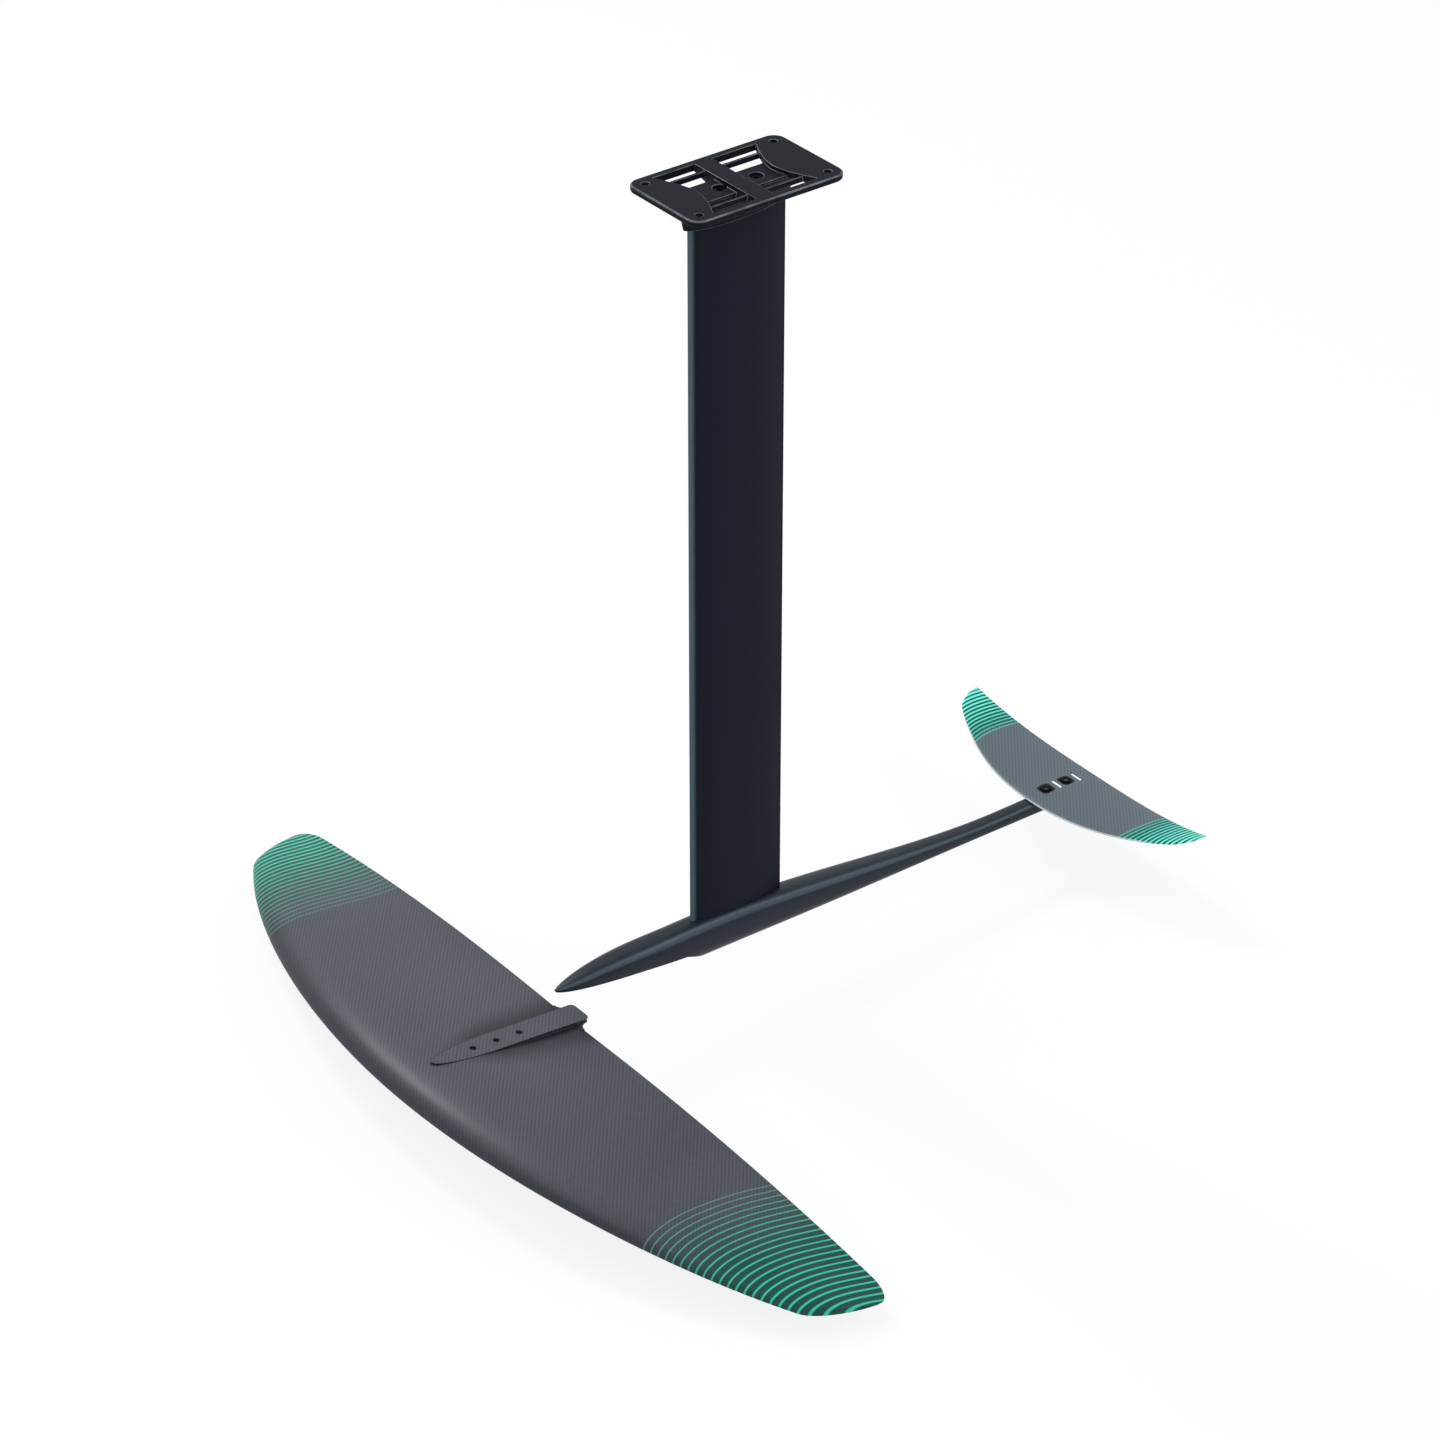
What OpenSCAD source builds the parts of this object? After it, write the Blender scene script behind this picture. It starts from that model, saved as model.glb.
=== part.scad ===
// Hydrofoil set for a board: cast top plate, foil-section mast, tapering fuselage,
// rear stabiliser and a front wing laid out ahead of the nose, ready to be offered up.
// +X runs aft, +Y to the starboard side, +Z up. The origin is the middle of the board face.

/* [Top plate] */
// Length of the plate, fore and aft
plate_l = 196; // [190:1:220]
// Width of the plate
plate_w = 120; // [116:1:140]
// Thickness of the plate's rim and end bands
plate_t = 8; // [6:0.5:11]
// Radius of the plate's corners in plan
plate_corner_r = 15; // [8:1:20]
// Edge chamfer round the board face
plate_chamfer = 1; // [0.5:0.1:2]
// Board screw spacing, fore and aft
board_pitch_l = 165; // [150:1:170]
// Board screw spacing, side to side
board_pitch_w = 90; // [84:1:94]
// Radius of a board screw hole
board_hole_r = 4.25; // [3.5:0.05:5]
// Radius of the countersink round a board screw hole
board_sink_r = 6.2; // [5.5:0.1:7.5]
// Place of the cross bar's front edge along X
bar_front_x = -15; // [-17:0.5:-12]
// Place of the cross bar's rear edge along X
bar_rear_x = 7; // [5:0.5:9]
// Width of the recessed web that carries the mast screws
centre_web_w = 38; // [36:1:40]
// Width of a window lane
lane_w = 14.5; // [10:0.5:15]
// Width of the rib between two lanes
lane_rib_w = 3; // [2:0.5:4]
// Distance from the middle to the front end of the outer lanes
front_window_end = 69; // [62:0.5:71]
// Distance from the middle to the rear end of the outer lanes
rear_window_end = 64; // [58:0.5:71]
// Bulge of an end band's inner edge towards the middle
band_bulge = 18; // [8:0.5:22]
// Depth of the recess over the screw web
web_recess = 5; // [3:0.5:6]
// Drop of a lane rib's crest under the board face
rib_drop = 1.6; // [0.5:0.1:3]
// Depth of the mast socket's collar under the plate
collar_depth = 32; // [24:1:36]
// Wall of the collar round the mast, at its lower end
collar_wall = 4.5; // [4:0.5:6]
// Wall of the collar round the mast, under the plate
collar_root = 9; // [7:0.5:9]
// Reach of the collar ahead of and behind the mast, under the plate
collar_reach = 13; // [10:0.5:15]
// Depth of the cross bar's gusset at the middle, under the board face
gusset_depth = 18; // [12:1:22]

/* [Mast] */
// Chord of the mast, leading edge to trailing edge
mast_chord = 126; // [115:1:135]
// Greatest thickness of the mast
mast_t = 19; // [18:0.5:21]
// Place of the greatest thickness, as a share of the chord
mast_crest = 0.4; // [0.35:0.01:0.45]
// Thickness left at the trailing edge
mast_edge_t = 0.9; // [0.6:0.1:1.5]
// Skin thickness of the hollow extrusion
mast_wall = 2.6; // [2:0.1:3.5]
// Height of the mast, board face to fuselage crown
mast_drop = 892; // [600:1:1000]
// Depth of the mast's foot in the fuselage
foot_depth = 14; // [10:1:16]
// Depth of the mast's head under the board face
head_depth = 18; // [17:0.5:20]
// Radius of a screw port that runs the length of the extrusion
port_r = 5.5; // [5.2:0.1:5.8]
// Place of the front screw port along X
port_front_x = -22; // [-26:1:-20]
// Place of the rear screw port along X
port_rear_x = 25; // [20:1:26]
// Gap between the mast and its two sockets
socket_gap = 0.15; // [0.1:0.05:0.3]

/* [Fuselage] */
// Place of the nose tip along X
nose_x = -248; // [-270:1:-240]
// Place of the tail end along X
tail_x = 511; // [503:1:540]
// Width of the fuselage under the mast
fus_w = 36; // [33:0.5:42]
// Width of the fuselage at the tail
tail_w = 20; // [19:0.5:24]
// Depth of the fuselage under the mast, crown to keel
fus_h = 47; // [44:0.5:52]
// Fall of the crown from the mast to the tail seat
tail_fall = 39; // [36:0.5:42]
// Fall of the keel from the mast to the tail end
keel_fall = 12; // [8:0.5:16]
// Place of the step that stops the wing pad
step_x = -80; // [-84:1:-76]
// Tilt of the nose seat, falling aft
seat_tilt = 5.5; // [4:0.5:7]
// Depth of the nose seat under the crown, at the nose tip
seat_drop = 16; // [14:0.5:20]

/* [Front wing] */
// Half of the wing's span
half_span = 545; // [450:5:600]
// Chord of the wing on the middle line
root_chord = 230; // [226:1:240]
// Place of the wing's leading edge on the middle line, as laid out
wing_x = -461; // [-475:1:-455]
// Depth of the wing's chord line under the crown, as laid out
wing_drop = 59.3; // [56:0.1:64]
// Sweep of the leading edge from the middle to the tip
le_sweep = 156; // [120:1:170]
// Extra sweep of the leading edge close to the tip
tip_sweep = 14; // [0:1:20]
// Fall of the tips under the root
tip_fall = 46; // [0:1:60]
// Height of the upper surface over the chord line
upper_rise = 19.6; // [17:0.1:21]
// Depth of the lower surface under the chord line
lower_fall = 8; // [6:0.1:10]
// Thickness of a moulded skin at the root
skin_t = 1.6; // [1.2:0.1:2]
// Length of the flat pad, tip to squared end
pad_l = 199; // [190:1:205]
// Width of the pad
pad_w = 33; // [28:0.5:35]
// Overhang of the pad behind the trailing edge
pad_overhang = 17; // [14:0.5:20]
// Length of the pad's pointed front
pad_nose_l = 78; // [60:1:90]
// Radius of the fillets between the pad's end and the trailing edge
pad_fillet = 12; // [6:0.5:15]
// Least thickness of the pad over the wing's crown
pad_lift = 0.3; // [0.2:0.05:1]
// Place of the middle wing screw behind the leading edge
wing_screw_u = 132.8; // [128:0.1:138]
// Spacing of the wing screws
wing_screw_pitch = 30.5; // [28:0.5:33]
// Play between the wing pad and the nose seat once offered up
seat_gap = 0.3; // [0.2:0.05:0.5]

/* [Stabiliser] */
// Half of the stabiliser's span
stab_half = 205; // [170:1:240]
// Chord of the stabiliser on the middle line
stab_chord = 98; // [90:1:110]
// Overhang of the stabiliser's trailing edge behind the tail end
stab_overhang = 20; // [15:1:26]
// Sweep of the stabiliser's leading edge
stab_sweep = 66; // [50:1:72]
// Rise of the stabiliser's tips
stab_rise = 20; // [0:1:30]
// Height of the stabiliser's upper surface over its chord line
stab_upper = 6.4; // [6:0.1:7]
// Depth of the stabiliser's lower surface under its chord line
stab_lower = 2.2; // [1.8:0.1:3]
// Spacing of the stabiliser's screws
stab_screw_pitch = 30.5; // [28:0.5:33]
// Front stabiliser screw ahead of the stabiliser's trailing edge
stab_screw_back = 71; // [67:1:75]
// Thickness of the shim under the stabiliser
shim_t = 0.8; // [0.5:0.1:2]
// Length of the shim
shim_l = 50; // [46:1:52]

/* [Fasteners] */
// Radius of an M6 thread
m6_r = 3; // [2.9:0.05:3]
// Radius of an M8 thread
m8_r = 4; // [3.9:0.05:4]
// Clearance round a screw in its hole
screw_gap = 0.1; // [0.05:0.01:0.2]
// Wall of a threaded insert
insert_wall = 1.3; // [1:0.05:1.35]
// Length of a mast insert
mast_insert_l = 24; // [16:1:30]
// Length of a nose or tail insert
short_insert_l = 6.5; // [5:0.5:6.5]
// Grip of a wing screw in the nose
wing_grip = 6; // [5:0.5:6]
// How far the wing screws are backed off, as laid out
screw_back = 7; // [6.6:0.1:8]
// Radius of a stabiliser washer
stab_washer_r = 7.6; // [7:0.1:8]
// Thickness of a washer
washer_t = 1.5; // [1:0.1:2]
// Head radius of a mast head screw
head_screw_r = 6.5; // [6:0.1:6.8]
// Radius of the pocket that takes a mast head screw
head_pocket_r = 7.6; // [7.2:0.1:8]

/* [Hidden] */
$fn = 48;

over = 1;             // overshoot of a cutting solid past the face it cuts
glue = 0.12;          // glue line between bonded pieces
foil_n = 18;          // chordwise steps of a foil section
wing_n = 26;          // spanwise steps over the whole wing
stab_n = 20;          // spanwise steps over the whole stabiliser
ring_n = 28;          // points round a fuselage section

// ---- mast ----
mast_le = -mast_chord / 2;
head_z = -head_depth;
foot_z = -mast_drop - foot_depth;
collar_end = plate_t + collar_depth;
function u_of(i, n) = (1 - cos(180 * i / n)) / 2;
function mast_half(u, t) =
  max(t / 2 * (u < mast_crest
        ? sqrt(max(0, 1 - pow((mast_crest - u) / mast_crest, 2)))
        : 1 - pow((u - mast_crest) / (1 - mast_crest), 2.2)),
      u > mast_crest ? mast_edge_t / 2 : 0);
function mast_points(grow) =
  let (c = mast_chord + 2 * grow, t = mast_t + 2 * grow, n = 22)
  concat(
    [for (i = [0:n]) let (u = u_of(i, n)) [mast_le - grow + c * u, mast_half(u, t)]],
    [for (i = [n:-1:1]) let (u = u_of(i, n)) [mast_le - grow + c * u, -mast_half(u, t)]]);

// ---- fuselage ----
tail_level_l = 116;   // length of the level crown at the tail end
tail_seat_x = tail_x - tail_level_l;
crown_x = -60;        // the crown starts to fall here
nose_rise_x = -140;   // the crown is level from here to the fall
nose_droop = 13;      // fall of the crown at the nose tip
nose_plan_x = -110;   // the nose starts to narrow here
nose_skirt = 9;       // depth of the loft under the seat before the seat is cut
tail_cap = 20;        // length of the rounded tail end
function clamp(v) = min(1, max(0, v));
function ease(v) = let (t = clamp(v)) t * t * (3 - 2 * t);
function crown(x) =
  x < nose_rise_x
    ? -mast_drop - nose_droop * pow((nose_rise_x - x) / (nose_rise_x - nose_x), 2.2)
    : -mast_drop - tail_fall * ease((x - crown_x) / (tail_seat_x - crown_x));
function seat(x) = -mast_drop - seat_drop - (x - nose_x) * tan(seat_tilt);
function straight_keel(x) =
  -mast_drop - fus_h - keel_fall * (x - crown_x) / (tail_x - crown_x);
function keel(x) =
  x < step_x - 1 ? max(straight_keel(x), seat(x) - nose_skirt) : straight_keel(x);
function tail_round(x) =
  x < tail_x - tail_cap ? 1 : sqrt(max(0.09, 1 - pow((x - tail_x + tail_cap) / tail_cap, 2)));
function fus_half(x) =
  x < nose_plan_x
    ? fus_w / 2 * sqrt(max(0.02, 1 - pow((nose_plan_x - x) / (nose_plan_x - nose_x), 2)))
    : (fus_w + (tail_w - fus_w) * ease((x - 40) / (tail_seat_x - 40))) / 2 * tail_round(x);
function spow(v, e) = sign(v) * pow(abs(v), e);
function fus_ring(x) =
  let (top = crown(x), low = keel(x), mid = (top + low) / 2,
       h = (top - low) / 2 * tail_round(x), w = fus_half(x))
  [for (k = [0:ring_n - 1]) let (a = 360 * k / ring_n)
    [x, w * spow(cos(a), 0.72), mid + h * spow(sin(a), a < 180 ? 0.66 : 0.8)]];
function fus_stations() = concat(
  [for (i = [0:13]) nose_x + (step_x - 1.5 - nose_x) * (1 - cos(90 * i / 13))],
  [step_x - 0.5],
  [for (i = [1:18]) step_x + (tail_x - tail_cap - step_x) * i / 18],
  [for (i = [1:6]) tail_x - tail_cap + tail_cap * sin(90 * i / 6)]);
seat_sink = 2.2;      // depth of the flat tail seat under the crown
tail_seat_z = -mast_drop - tail_fall - seat_sink;

// ---- front wing ----
wing_z = -mast_drop - wing_drop;
tip_start = 0.94;     // share of the half span where the tip starts to round off
te_bow = 15;          // the trailing edge lies this much further aft at the tips
function eta(y) = abs(y) / half_span;
function tip_round(y) =
  eta(y) < tip_start ? 1
    : sqrt(max(0.02, 1 - pow((eta(y) - tip_start) / (1 - tip_start), 2)));
function wing_te(y) =
  wing_x + root_chord + te_bow * pow(eta(y), 1.2) - te_bow * (1 - tip_round(y));
function wing_le_plain(y) = wing_x + le_sweep * pow(eta(y), 2) + tip_sweep * pow(eta(y), 8);
function wing_chord(y) = (wing_te(y) - wing_le_plain(y)) * tip_round(y);
function wing_le(y) = wing_te(y) - wing_chord(y);
function wing_mid_z(y) = wing_z - tip_fall * pow(eta(y), 2.2);
// share of the greatest height at u, for a crest at a / (a + b)
function hump(u, a, b) =
  let (c = a / (a + b)) pow(u / c, a) * pow((1 - u) / (1 - c), b);
wing_edge = 0.45;     // half thickness of the trailing edge at the root
function wing_upper(u) = upper_rise * hump(u, 0.5, 1.6) + wing_edge * u;
function wing_lower(u) = -lower_fall * hump(u, 0.5, 1.1) - wing_edge * u;
// even steps over the middle and closer steps at the tips
function span_y(j, n, half) = half * sin(90 * (2 * j / n - 1)) * 0.55 + half * (2 * j / n - 1) * 0.45;
function wing_point(y, u, z) =
  let (c = wing_chord(y), k = c / root_chord)
  [wing_le(y) + c * u, y, wing_mid_z(y) + z * k];

// ---- wing pad, in the wing's own place as laid out ----
pad_angle = seat_tilt;
pad_mid_x = wing_x + wing_screw_u;
// the pad's face clears the wing's upper surface everywhere behind its front
pad_rise = max([for (i = [0:60]) let (u = 0.2 + 0.8 * i / 60)
  wing_upper(u) + glue + pad_lift + (root_chord * u - wing_screw_u) * tan(pad_angle)]);
pad_mid_z = wing_z + pad_rise;
function pad_z(x) = pad_mid_z - (x - pad_mid_x) * tan(pad_angle);
pad_end_x = wing_x + root_chord + pad_overhang;
pad_front_x = pad_end_x - pad_l;
wing_screw_x = [for (k = [-1:1]) pad_mid_x + k * wing_screw_pitch];
function lower_z(x) = wing_z + wing_lower((x - wing_x) / root_chord);
pad_tongue = 1.2;     // depth of the pad's squared end under the chord line

// ---- travel of the wing, from laid out to seated on the nose ----
step_gap = 0.8;       // play between the pad's squared end and the step
wing_dx = step_x - step_gap - pad_end_x;
wing_dz = seat(pad_mid_x + wing_dx) - pad_mid_z - seat_gap / cos(seat_tilt);
wing_travel = norm([wing_dx, 0, wing_dz]);
nose_screw_x = [for (x = wing_screw_x) x + wing_dx];

// ---- stabiliser ----
stab_bite = 1;        // depth of the flat seat cut into the stabiliser's lower surface
stab_mid_z = tail_seat_z + shim_t + stab_lower - stab_bite;
stab_te_x = tail_x + stab_overhang;
stab_x = stab_te_x - stab_chord;
stab_screw_x = stab_te_x - stab_screw_back;
stab_tip = 0.9;       // share of the half span where the tip starts to round off
seat_lead = 3;        // the flat tail seat starts this far ahead of the stabiliser
stab_edge = 0.4;      // half thickness of the stabiliser's trailing edge
function seta(y) = abs(y) / stab_half;
function stab_te(y) = stab_te_x - 4 * pow(seta(y), 3);
function stab_round(y) =
  seta(y) < stab_tip ? 1
    : sqrt(max(0.02, 1 - pow((seta(y) - stab_tip) / (1 - stab_tip), 2)));
function stab_c(y) =
  (stab_te(y) - stab_x - stab_sweep * pow(seta(y), 2)) * stab_round(y);
function stab_upper_z(u) = stab_upper * hump(u, 0.5, 0.9) + stab_edge * u;
function stab_lower_z(u) = -stab_lower * hump(u, 0.5, 0.7) - stab_edge * u;
stab_screws = [stab_screw_x, stab_screw_x + stab_screw_pitch];
stab_face_z = stab_mid_z + 3.6;   // floor of the washer pockets

// ---- fasteners ----
head_screw_h = 5;     // head height of a mast head screw
head_floor_t = 3.6;   // thickness of the plate between a head screw's seat and the mast
head_seat_z = head_z + head_floor_t;
foot_screw_r = 6.5;   // head radius of a mast foot screw
foot_screw_h = 8;     // head height of a mast foot screw
foot_seat_z = foot_z - 18;
foot_bore_r = 7.4;    // counterbore under the fuselage
hex_share = 0.55;     // hexagon key size over the head's radius
tail_hole_l = 12;     // depth of a tail insert's hole
wing_head_r = 5.8;    // head radius of a wing screw
wing_head_h = 2.8;    // head height of a wing screw
bush_r = 6.4;         // outer radius of a wing bush
bush_cover = 2.2;     // thickness of the pad left over a bush
bore_reach = 60;      // length of a bore that runs right through the wing

// ---- shared shapes ----
// closed solid through a row of rings with the same number of points each;
// point k of a ring faces point m - k across the section, which the end caps follow
module loft(rings) {
  m = len(rings[0]);
  n = len(rings);
  points = [for (r = rings) for (p = r) p];
  sides = [for (j = [0:n - 2]) for (k = [0:m - 1])
    let (a = j * m + k, b = j * m + (k + 1) % m, c = a + m, d = b + m)
    each [[a, d, b], [a, c, d]]];
  cap = concat([[0, 1, m - 1]],
    [for (k = [1:m]) if (k + 1 < m - k) [k, k + 1, m - k]],
    [for (k = [1:m]) if (k + 1 < m - k - 1) [k + 1, m - k - 1, m - k]]);
  last = [for (t = cap) [for (k = [2:-1:0]) (n - 1) * m + t[k]]];
  polyhedron(points, concat(sides, cap, last), convexity = 6);
}

module rounded_slab(l, w, h, r) {
  translate([-l / 2 + r, -w / 2, -h]) cube([l - 2 * r, w, h]);
  translate([-l / 2, -w / 2 + r, -h]) cube([l, w - 2 * r, h]);
  for (sx = [-1, 1], sy = [-1, 1])
    translate([sx * (l / 2 - r), sy * (w / 2 - r), -h]) cylinder(h = h, r = r);
}

// cap screw, thread down, seat of the head at the origin
module cap_screw(head_r, head_h, thread_r, length) {
  difference() {
    cylinder(h = head_h, r = head_r);
    translate([0, 0, head_h * 0.45]) cylinder(h = head_h, r = head_r * hex_share, $fn = 6);
  }
  translate([0, 0, -length]) cylinder(h = length, r = thread_r);
}

module washer(outer_r, inner_r, t) {
  difference() {
    cylinder(h = t, r = outer_r);
    translate([0, 0, -over]) cylinder(h = t + 2 * over, r = inner_r);
  }
}

module threaded_insert(thread_r, length) {
  washer(thread_r + screw_gap + insert_wall, thread_r + screw_gap, length);
}

module at_ports(z) {
  for (x = [port_front_x, port_rear_x]) translate([x, 0, z]) children();
}

// ---- top plate ----
lane_y = [centre_web_w / 2, centre_web_w / 2 + lane_w + lane_rib_w];   // inner side of each lane
window_reach = lane_y[1] + lane_w;
// an end band's inner edge, curved towards the middle
function band_edge(y, end) = end - band_bulge * (1 - pow(abs(y) / window_reach, 1.6));

// cut from the cross bar to an end band, between two distances from the middle line
module bay(y0, y1, z, h) {
  steps = 8;
  ys = [for (i = [0:steps]) y0 + (y1 - y0) * i / steps];
  translate([0, 0, z]) linear_extrude(h) {
    polygon(concat([[bar_front_x, y1], [bar_front_x, y0]], [for (y = ys) [-band_edge(y, front_window_end), y]]));
    polygon(concat([[bar_rear_x, y1], [bar_rear_x, y0]], [for (y = ys) [band_edge(y, rear_window_end), y]]));
  }
}

module plate_windows() {
  for (y = lane_y, s = [0, 1]) mirror([0, s, 0])
    bay(y, y + lane_w, -plate_t - over, plate_t + 2 * over);
  // recess over the screw web
  bay(-lane_y[0] - over, lane_y[0] + over, -web_recess, web_recess + over);
  // low crests of the ribs
  for (s = [0, 1]) mirror([0, s, 0]) bay(lane_y[0], lane_y[1] + over, -rib_drop, rib_drop + over);
}

// the collar tapers towards the mast as it goes down
function collar_ring(z, reach, wall) =
  [for (p = mast_points(0)) [p[0] * (1 + 2 * reach / mast_chord), p[1] * (1 + 2 * wall / mast_t), z]];
module collar() {
  loft([collar_ring(over - plate_t, collar_reach, collar_root),
        collar_ring(-plate_t, collar_reach, collar_root),
        collar_ring(-plate_t - collar_depth * 0.4, (collar_reach + collar_wall) / 2, (collar_root + collar_wall) / 2 + over / 2),
        collar_ring(-collar_end, collar_wall + over / 2, collar_wall)]);
}

// the cross bar's gusset, deep at the collar and level with the rim at the windows' outer ends
module gusset() {
  translate([bar_front_x, 0, 0]) rotate([90, 0, 90]) linear_extrude(bar_rear_x - bar_front_x)
    polygon([[-window_reach - over, -plate_t + over], [-window_reach - over, -plate_t], [-lane_y[0], -gusset_depth],
             [lane_y[0], -gusset_depth], [window_reach + over, -plate_t], [window_reach + over, -plate_t + over]]);
}

module top_plate() {
  color([0.13, 0.14, 0.16]) difference() {
    union() {
      gusset();
      difference() {
        union() {
          translate([0, 0, -plate_chamfer])
            rounded_slab(plate_l, plate_w, plate_t - plate_chamfer, plate_corner_r);
          rounded_slab(plate_l - 2 * plate_chamfer, plate_w - 2 * plate_chamfer, plate_t,
                       plate_corner_r - plate_chamfer);
        }
        plate_windows();
      }
      collar();
    }
    translate([0, 0, -collar_end - over]) linear_extrude(collar_end + over + head_z)
      polygon(mast_points(socket_gap));
    for (sx = [-1, 1], sy = [-1, 1])
      translate([sx * board_pitch_l / 2, sy * board_pitch_w / 2, 0]) {
        translate([0, 0, -plate_t - over]) cylinder(h = plate_t + 2 * over, r = board_hole_r);
        translate([0, 0, -plate_t - over])
          cylinder(h = over + 2.2, r1 = board_sink_r + over, r2 = board_hole_r);
      }
    at_ports(head_seat_z) cylinder(h = over - head_seat_z, r = head_pocket_r);
    at_ports(-collar_end) cylinder(h = collar_end, r = m8_r + 3 * screw_gap);
  }
}

module mast_head_screws() {
  color([0.2, 0.21, 0.22]) at_ports(head_seat_z + washer_t)
    cap_screw(head_screw_r, head_screw_h, m8_r, washer_t + head_floor_t + mast_insert_l);
}

module mast_head_washers() {
  color([0.55, 0.56, 0.58]) at_ports(head_seat_z)
    washer(head_pocket_r - 4 * screw_gap, m8_r + screw_gap, washer_t);
}

module mast_head_inserts() {
  color([0.6, 0.6, 0.62]) at_ports(head_z - 1 - mast_insert_l)
    washer(port_r - screw_gap, m8_r + screw_gap, mast_insert_l);
}

// ---- mast ----
module mast_cells() {
  cell_ends = [12, port_front_x - mast_le - 9, port_front_x - mast_le + 9,
               port_rear_x - mast_le - 9, port_rear_x - mast_le + 9, mast_chord - 16];
  for (c = [0, 2, 4]) {
    x0 = cell_ends[c];
    x1 = cell_ends[c + 1];
    steps = 5;
    xs = [for (i = [0:steps]) x0 + (x1 - x0) * i / steps];
    upper = [for (x = xs) [mast_le + x, mast_half(x / mast_chord, mast_t) - mast_wall]];
    lower = [for (i = [steps:-1:0])
      [mast_le + xs[i], mast_wall - mast_half(xs[i] / mast_chord, mast_t)]];
    polygon(concat(upper, lower));
  }
}

module mast_extrusion() {
  color([0.12, 0.13, 0.16]) difference() {
    translate([0, 0, foot_z]) linear_extrude(head_z - foot_z) difference() {
      polygon(mast_points(0));
      mast_cells();
    }
    at_ports(foot_z - over) cylinder(h = head_z - foot_z + 2 * over, r = port_r);
  }
}

module mast_foot_inserts() {
  color([0.6, 0.6, 0.62]) at_ports(foot_z + 1)
    washer(port_r - screw_gap, m8_r + screw_gap, mast_insert_l);
}

module mast_foot_washers() {
  color([0.55, 0.56, 0.58]) at_ports(foot_seat_z - washer_t)
    washer(foot_screw_r + 0.5, m8_r + screw_gap, washer_t);
}

module mast_foot_screws() {
  color([0.2, 0.21, 0.22]) at_ports(foot_seat_z - washer_t) mirror([0, 0, 1])
    cap_screw(foot_screw_r, foot_screw_h, m8_r, foot_z - foot_seat_z + washer_t + mast_insert_l);
}

// ---- fuselage ----
// everything under the nose seat, ahead of the step
module seat_cut() {
  l = 2 * (step_x - nose_x);
  h = fus_h + nose_skirt;
  translate([step_x, 0, seat(step_x)]) rotate([0, seat_tilt, 0])
    translate([-l, -h, -2 * h]) cube([l, 2 * h, 2 * h]);
}

module at_nose_screws() {
  for (x = nose_screw_x) translate([x, 0, seat(x)]) rotate([0, seat_tilt, 0]) children();
}

module fuselage() {
  color([0.13, 0.15, 0.18]) difference() {
    loft([for (x = fus_stations()) fus_ring(x)]);
    seat_cut();
    // level seat for the stabiliser
    translate([stab_x - seat_lead, -tail_w, tail_seat_z]) cube([tail_x, 2 * tail_w, tail_w]);
    // socket for the mast's foot
    translate([0, 0, foot_z]) linear_extrude(foot_depth + tail_fall) polygon(mast_points(socket_gap));
    at_ports(foot_seat_z - fus_h) cylinder(h = fus_h, r = foot_bore_r);
    at_ports(foot_seat_z - over) cylinder(h = foot_z - foot_seat_z + 2 * over, r = m8_r + 2 * screw_gap);
    at_nose_screws() translate([0, 0, -over])
      cylinder(h = short_insert_l + 0.6 + over, r = m6_r + 2 * screw_gap + insert_wall);
    for (x = stab_screws) translate([x, 0, tail_seat_z - tail_hole_l])
      cylinder(h = tail_hole_l + over, r = m6_r + 2 * screw_gap + insert_wall);
  }
}

module nose_inserts() {
  color([0.75, 0.65, 0.35]) at_nose_screws() translate([0, 0, 0.2])
    threaded_insert(m6_r, short_insert_l);
}

module tail_inserts() {
  color([0.75, 0.65, 0.35]) for (x = stab_screws)
    translate([x, 0, tail_seat_z - 0.2 - short_insert_l - 4]) threaded_insert(m6_r, short_insert_l + 4);
}

// ---- stabiliser ----
function stab_ring(y) =
  let (c = stab_c(y), k = c / stab_chord, x = stab_te(y) - c,
       z = stab_mid_z + stab_rise * pow(seta(y), 3))
  concat(
    [for (i = [0:foil_n]) let (u = u_of(i, foil_n)) [x + c * u, y, z + k * stab_upper_z(u)]],
    [for (i = [foil_n:-1:1]) let (u = u_of(i, foil_n)) [x + c * u, y, z + k * stab_lower_z(u)]]);

module stabilizer() {
  color([0.45, 0.5, 0.54]) difference() {
    loft([for (j = [0:stab_n]) stab_ring(span_y(j, stab_n, stab_half))]);
    for (x = stab_screws) {
      translate([x, 0, stab_face_z]) cylinder(h = 20, r = stab_washer_r + screw_gap);
      translate([x, 0, stab_mid_z - 20]) cylinder(h = 40, r = m6_r + 2 * screw_gap);
    }
    // flat under the root, over the shim
    translate([tail_seat_x, -tail_w, tail_seat_z - tail_w]) cube([tail_x, 2 * tail_w, tail_w + shim_t]);
  }
}

module stabilizer_shim() {
  color([0.1, 0.1, 0.11]) difference() {
    translate([stab_x + 14, -tail_w / 2 + 1.5, tail_seat_z]) cube([shim_l, tail_w - 3, shim_t]);
    for (x = stab_screws) translate([x, 0, tail_seat_z - over])
      cylinder(h = shim_t + 2 * over, r = m6_r + 2 * screw_gap);
  }
}

module stabilizer_washers() {
  color([0.16, 0.17, 0.18]) for (x = stab_screws) translate([x, 0, stab_face_z]) difference() {
    cylinder(h = washer_t, r = stab_washer_r);
    translate([0, 0, -over]) cylinder(h = washer_t + 2 * over, r = m6_r + screw_gap);
  }
}

module stabilizer_screws() {
  head_r = 5.4;
  color([0.2, 0.21, 0.22]) for (x = stab_screws) translate([x, 0, stab_face_z + washer_t])
    cap_screw(head_r, 2.2, m6_r, stab_face_z + washer_t - tail_seat_z + short_insert_l + 2);
}

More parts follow.
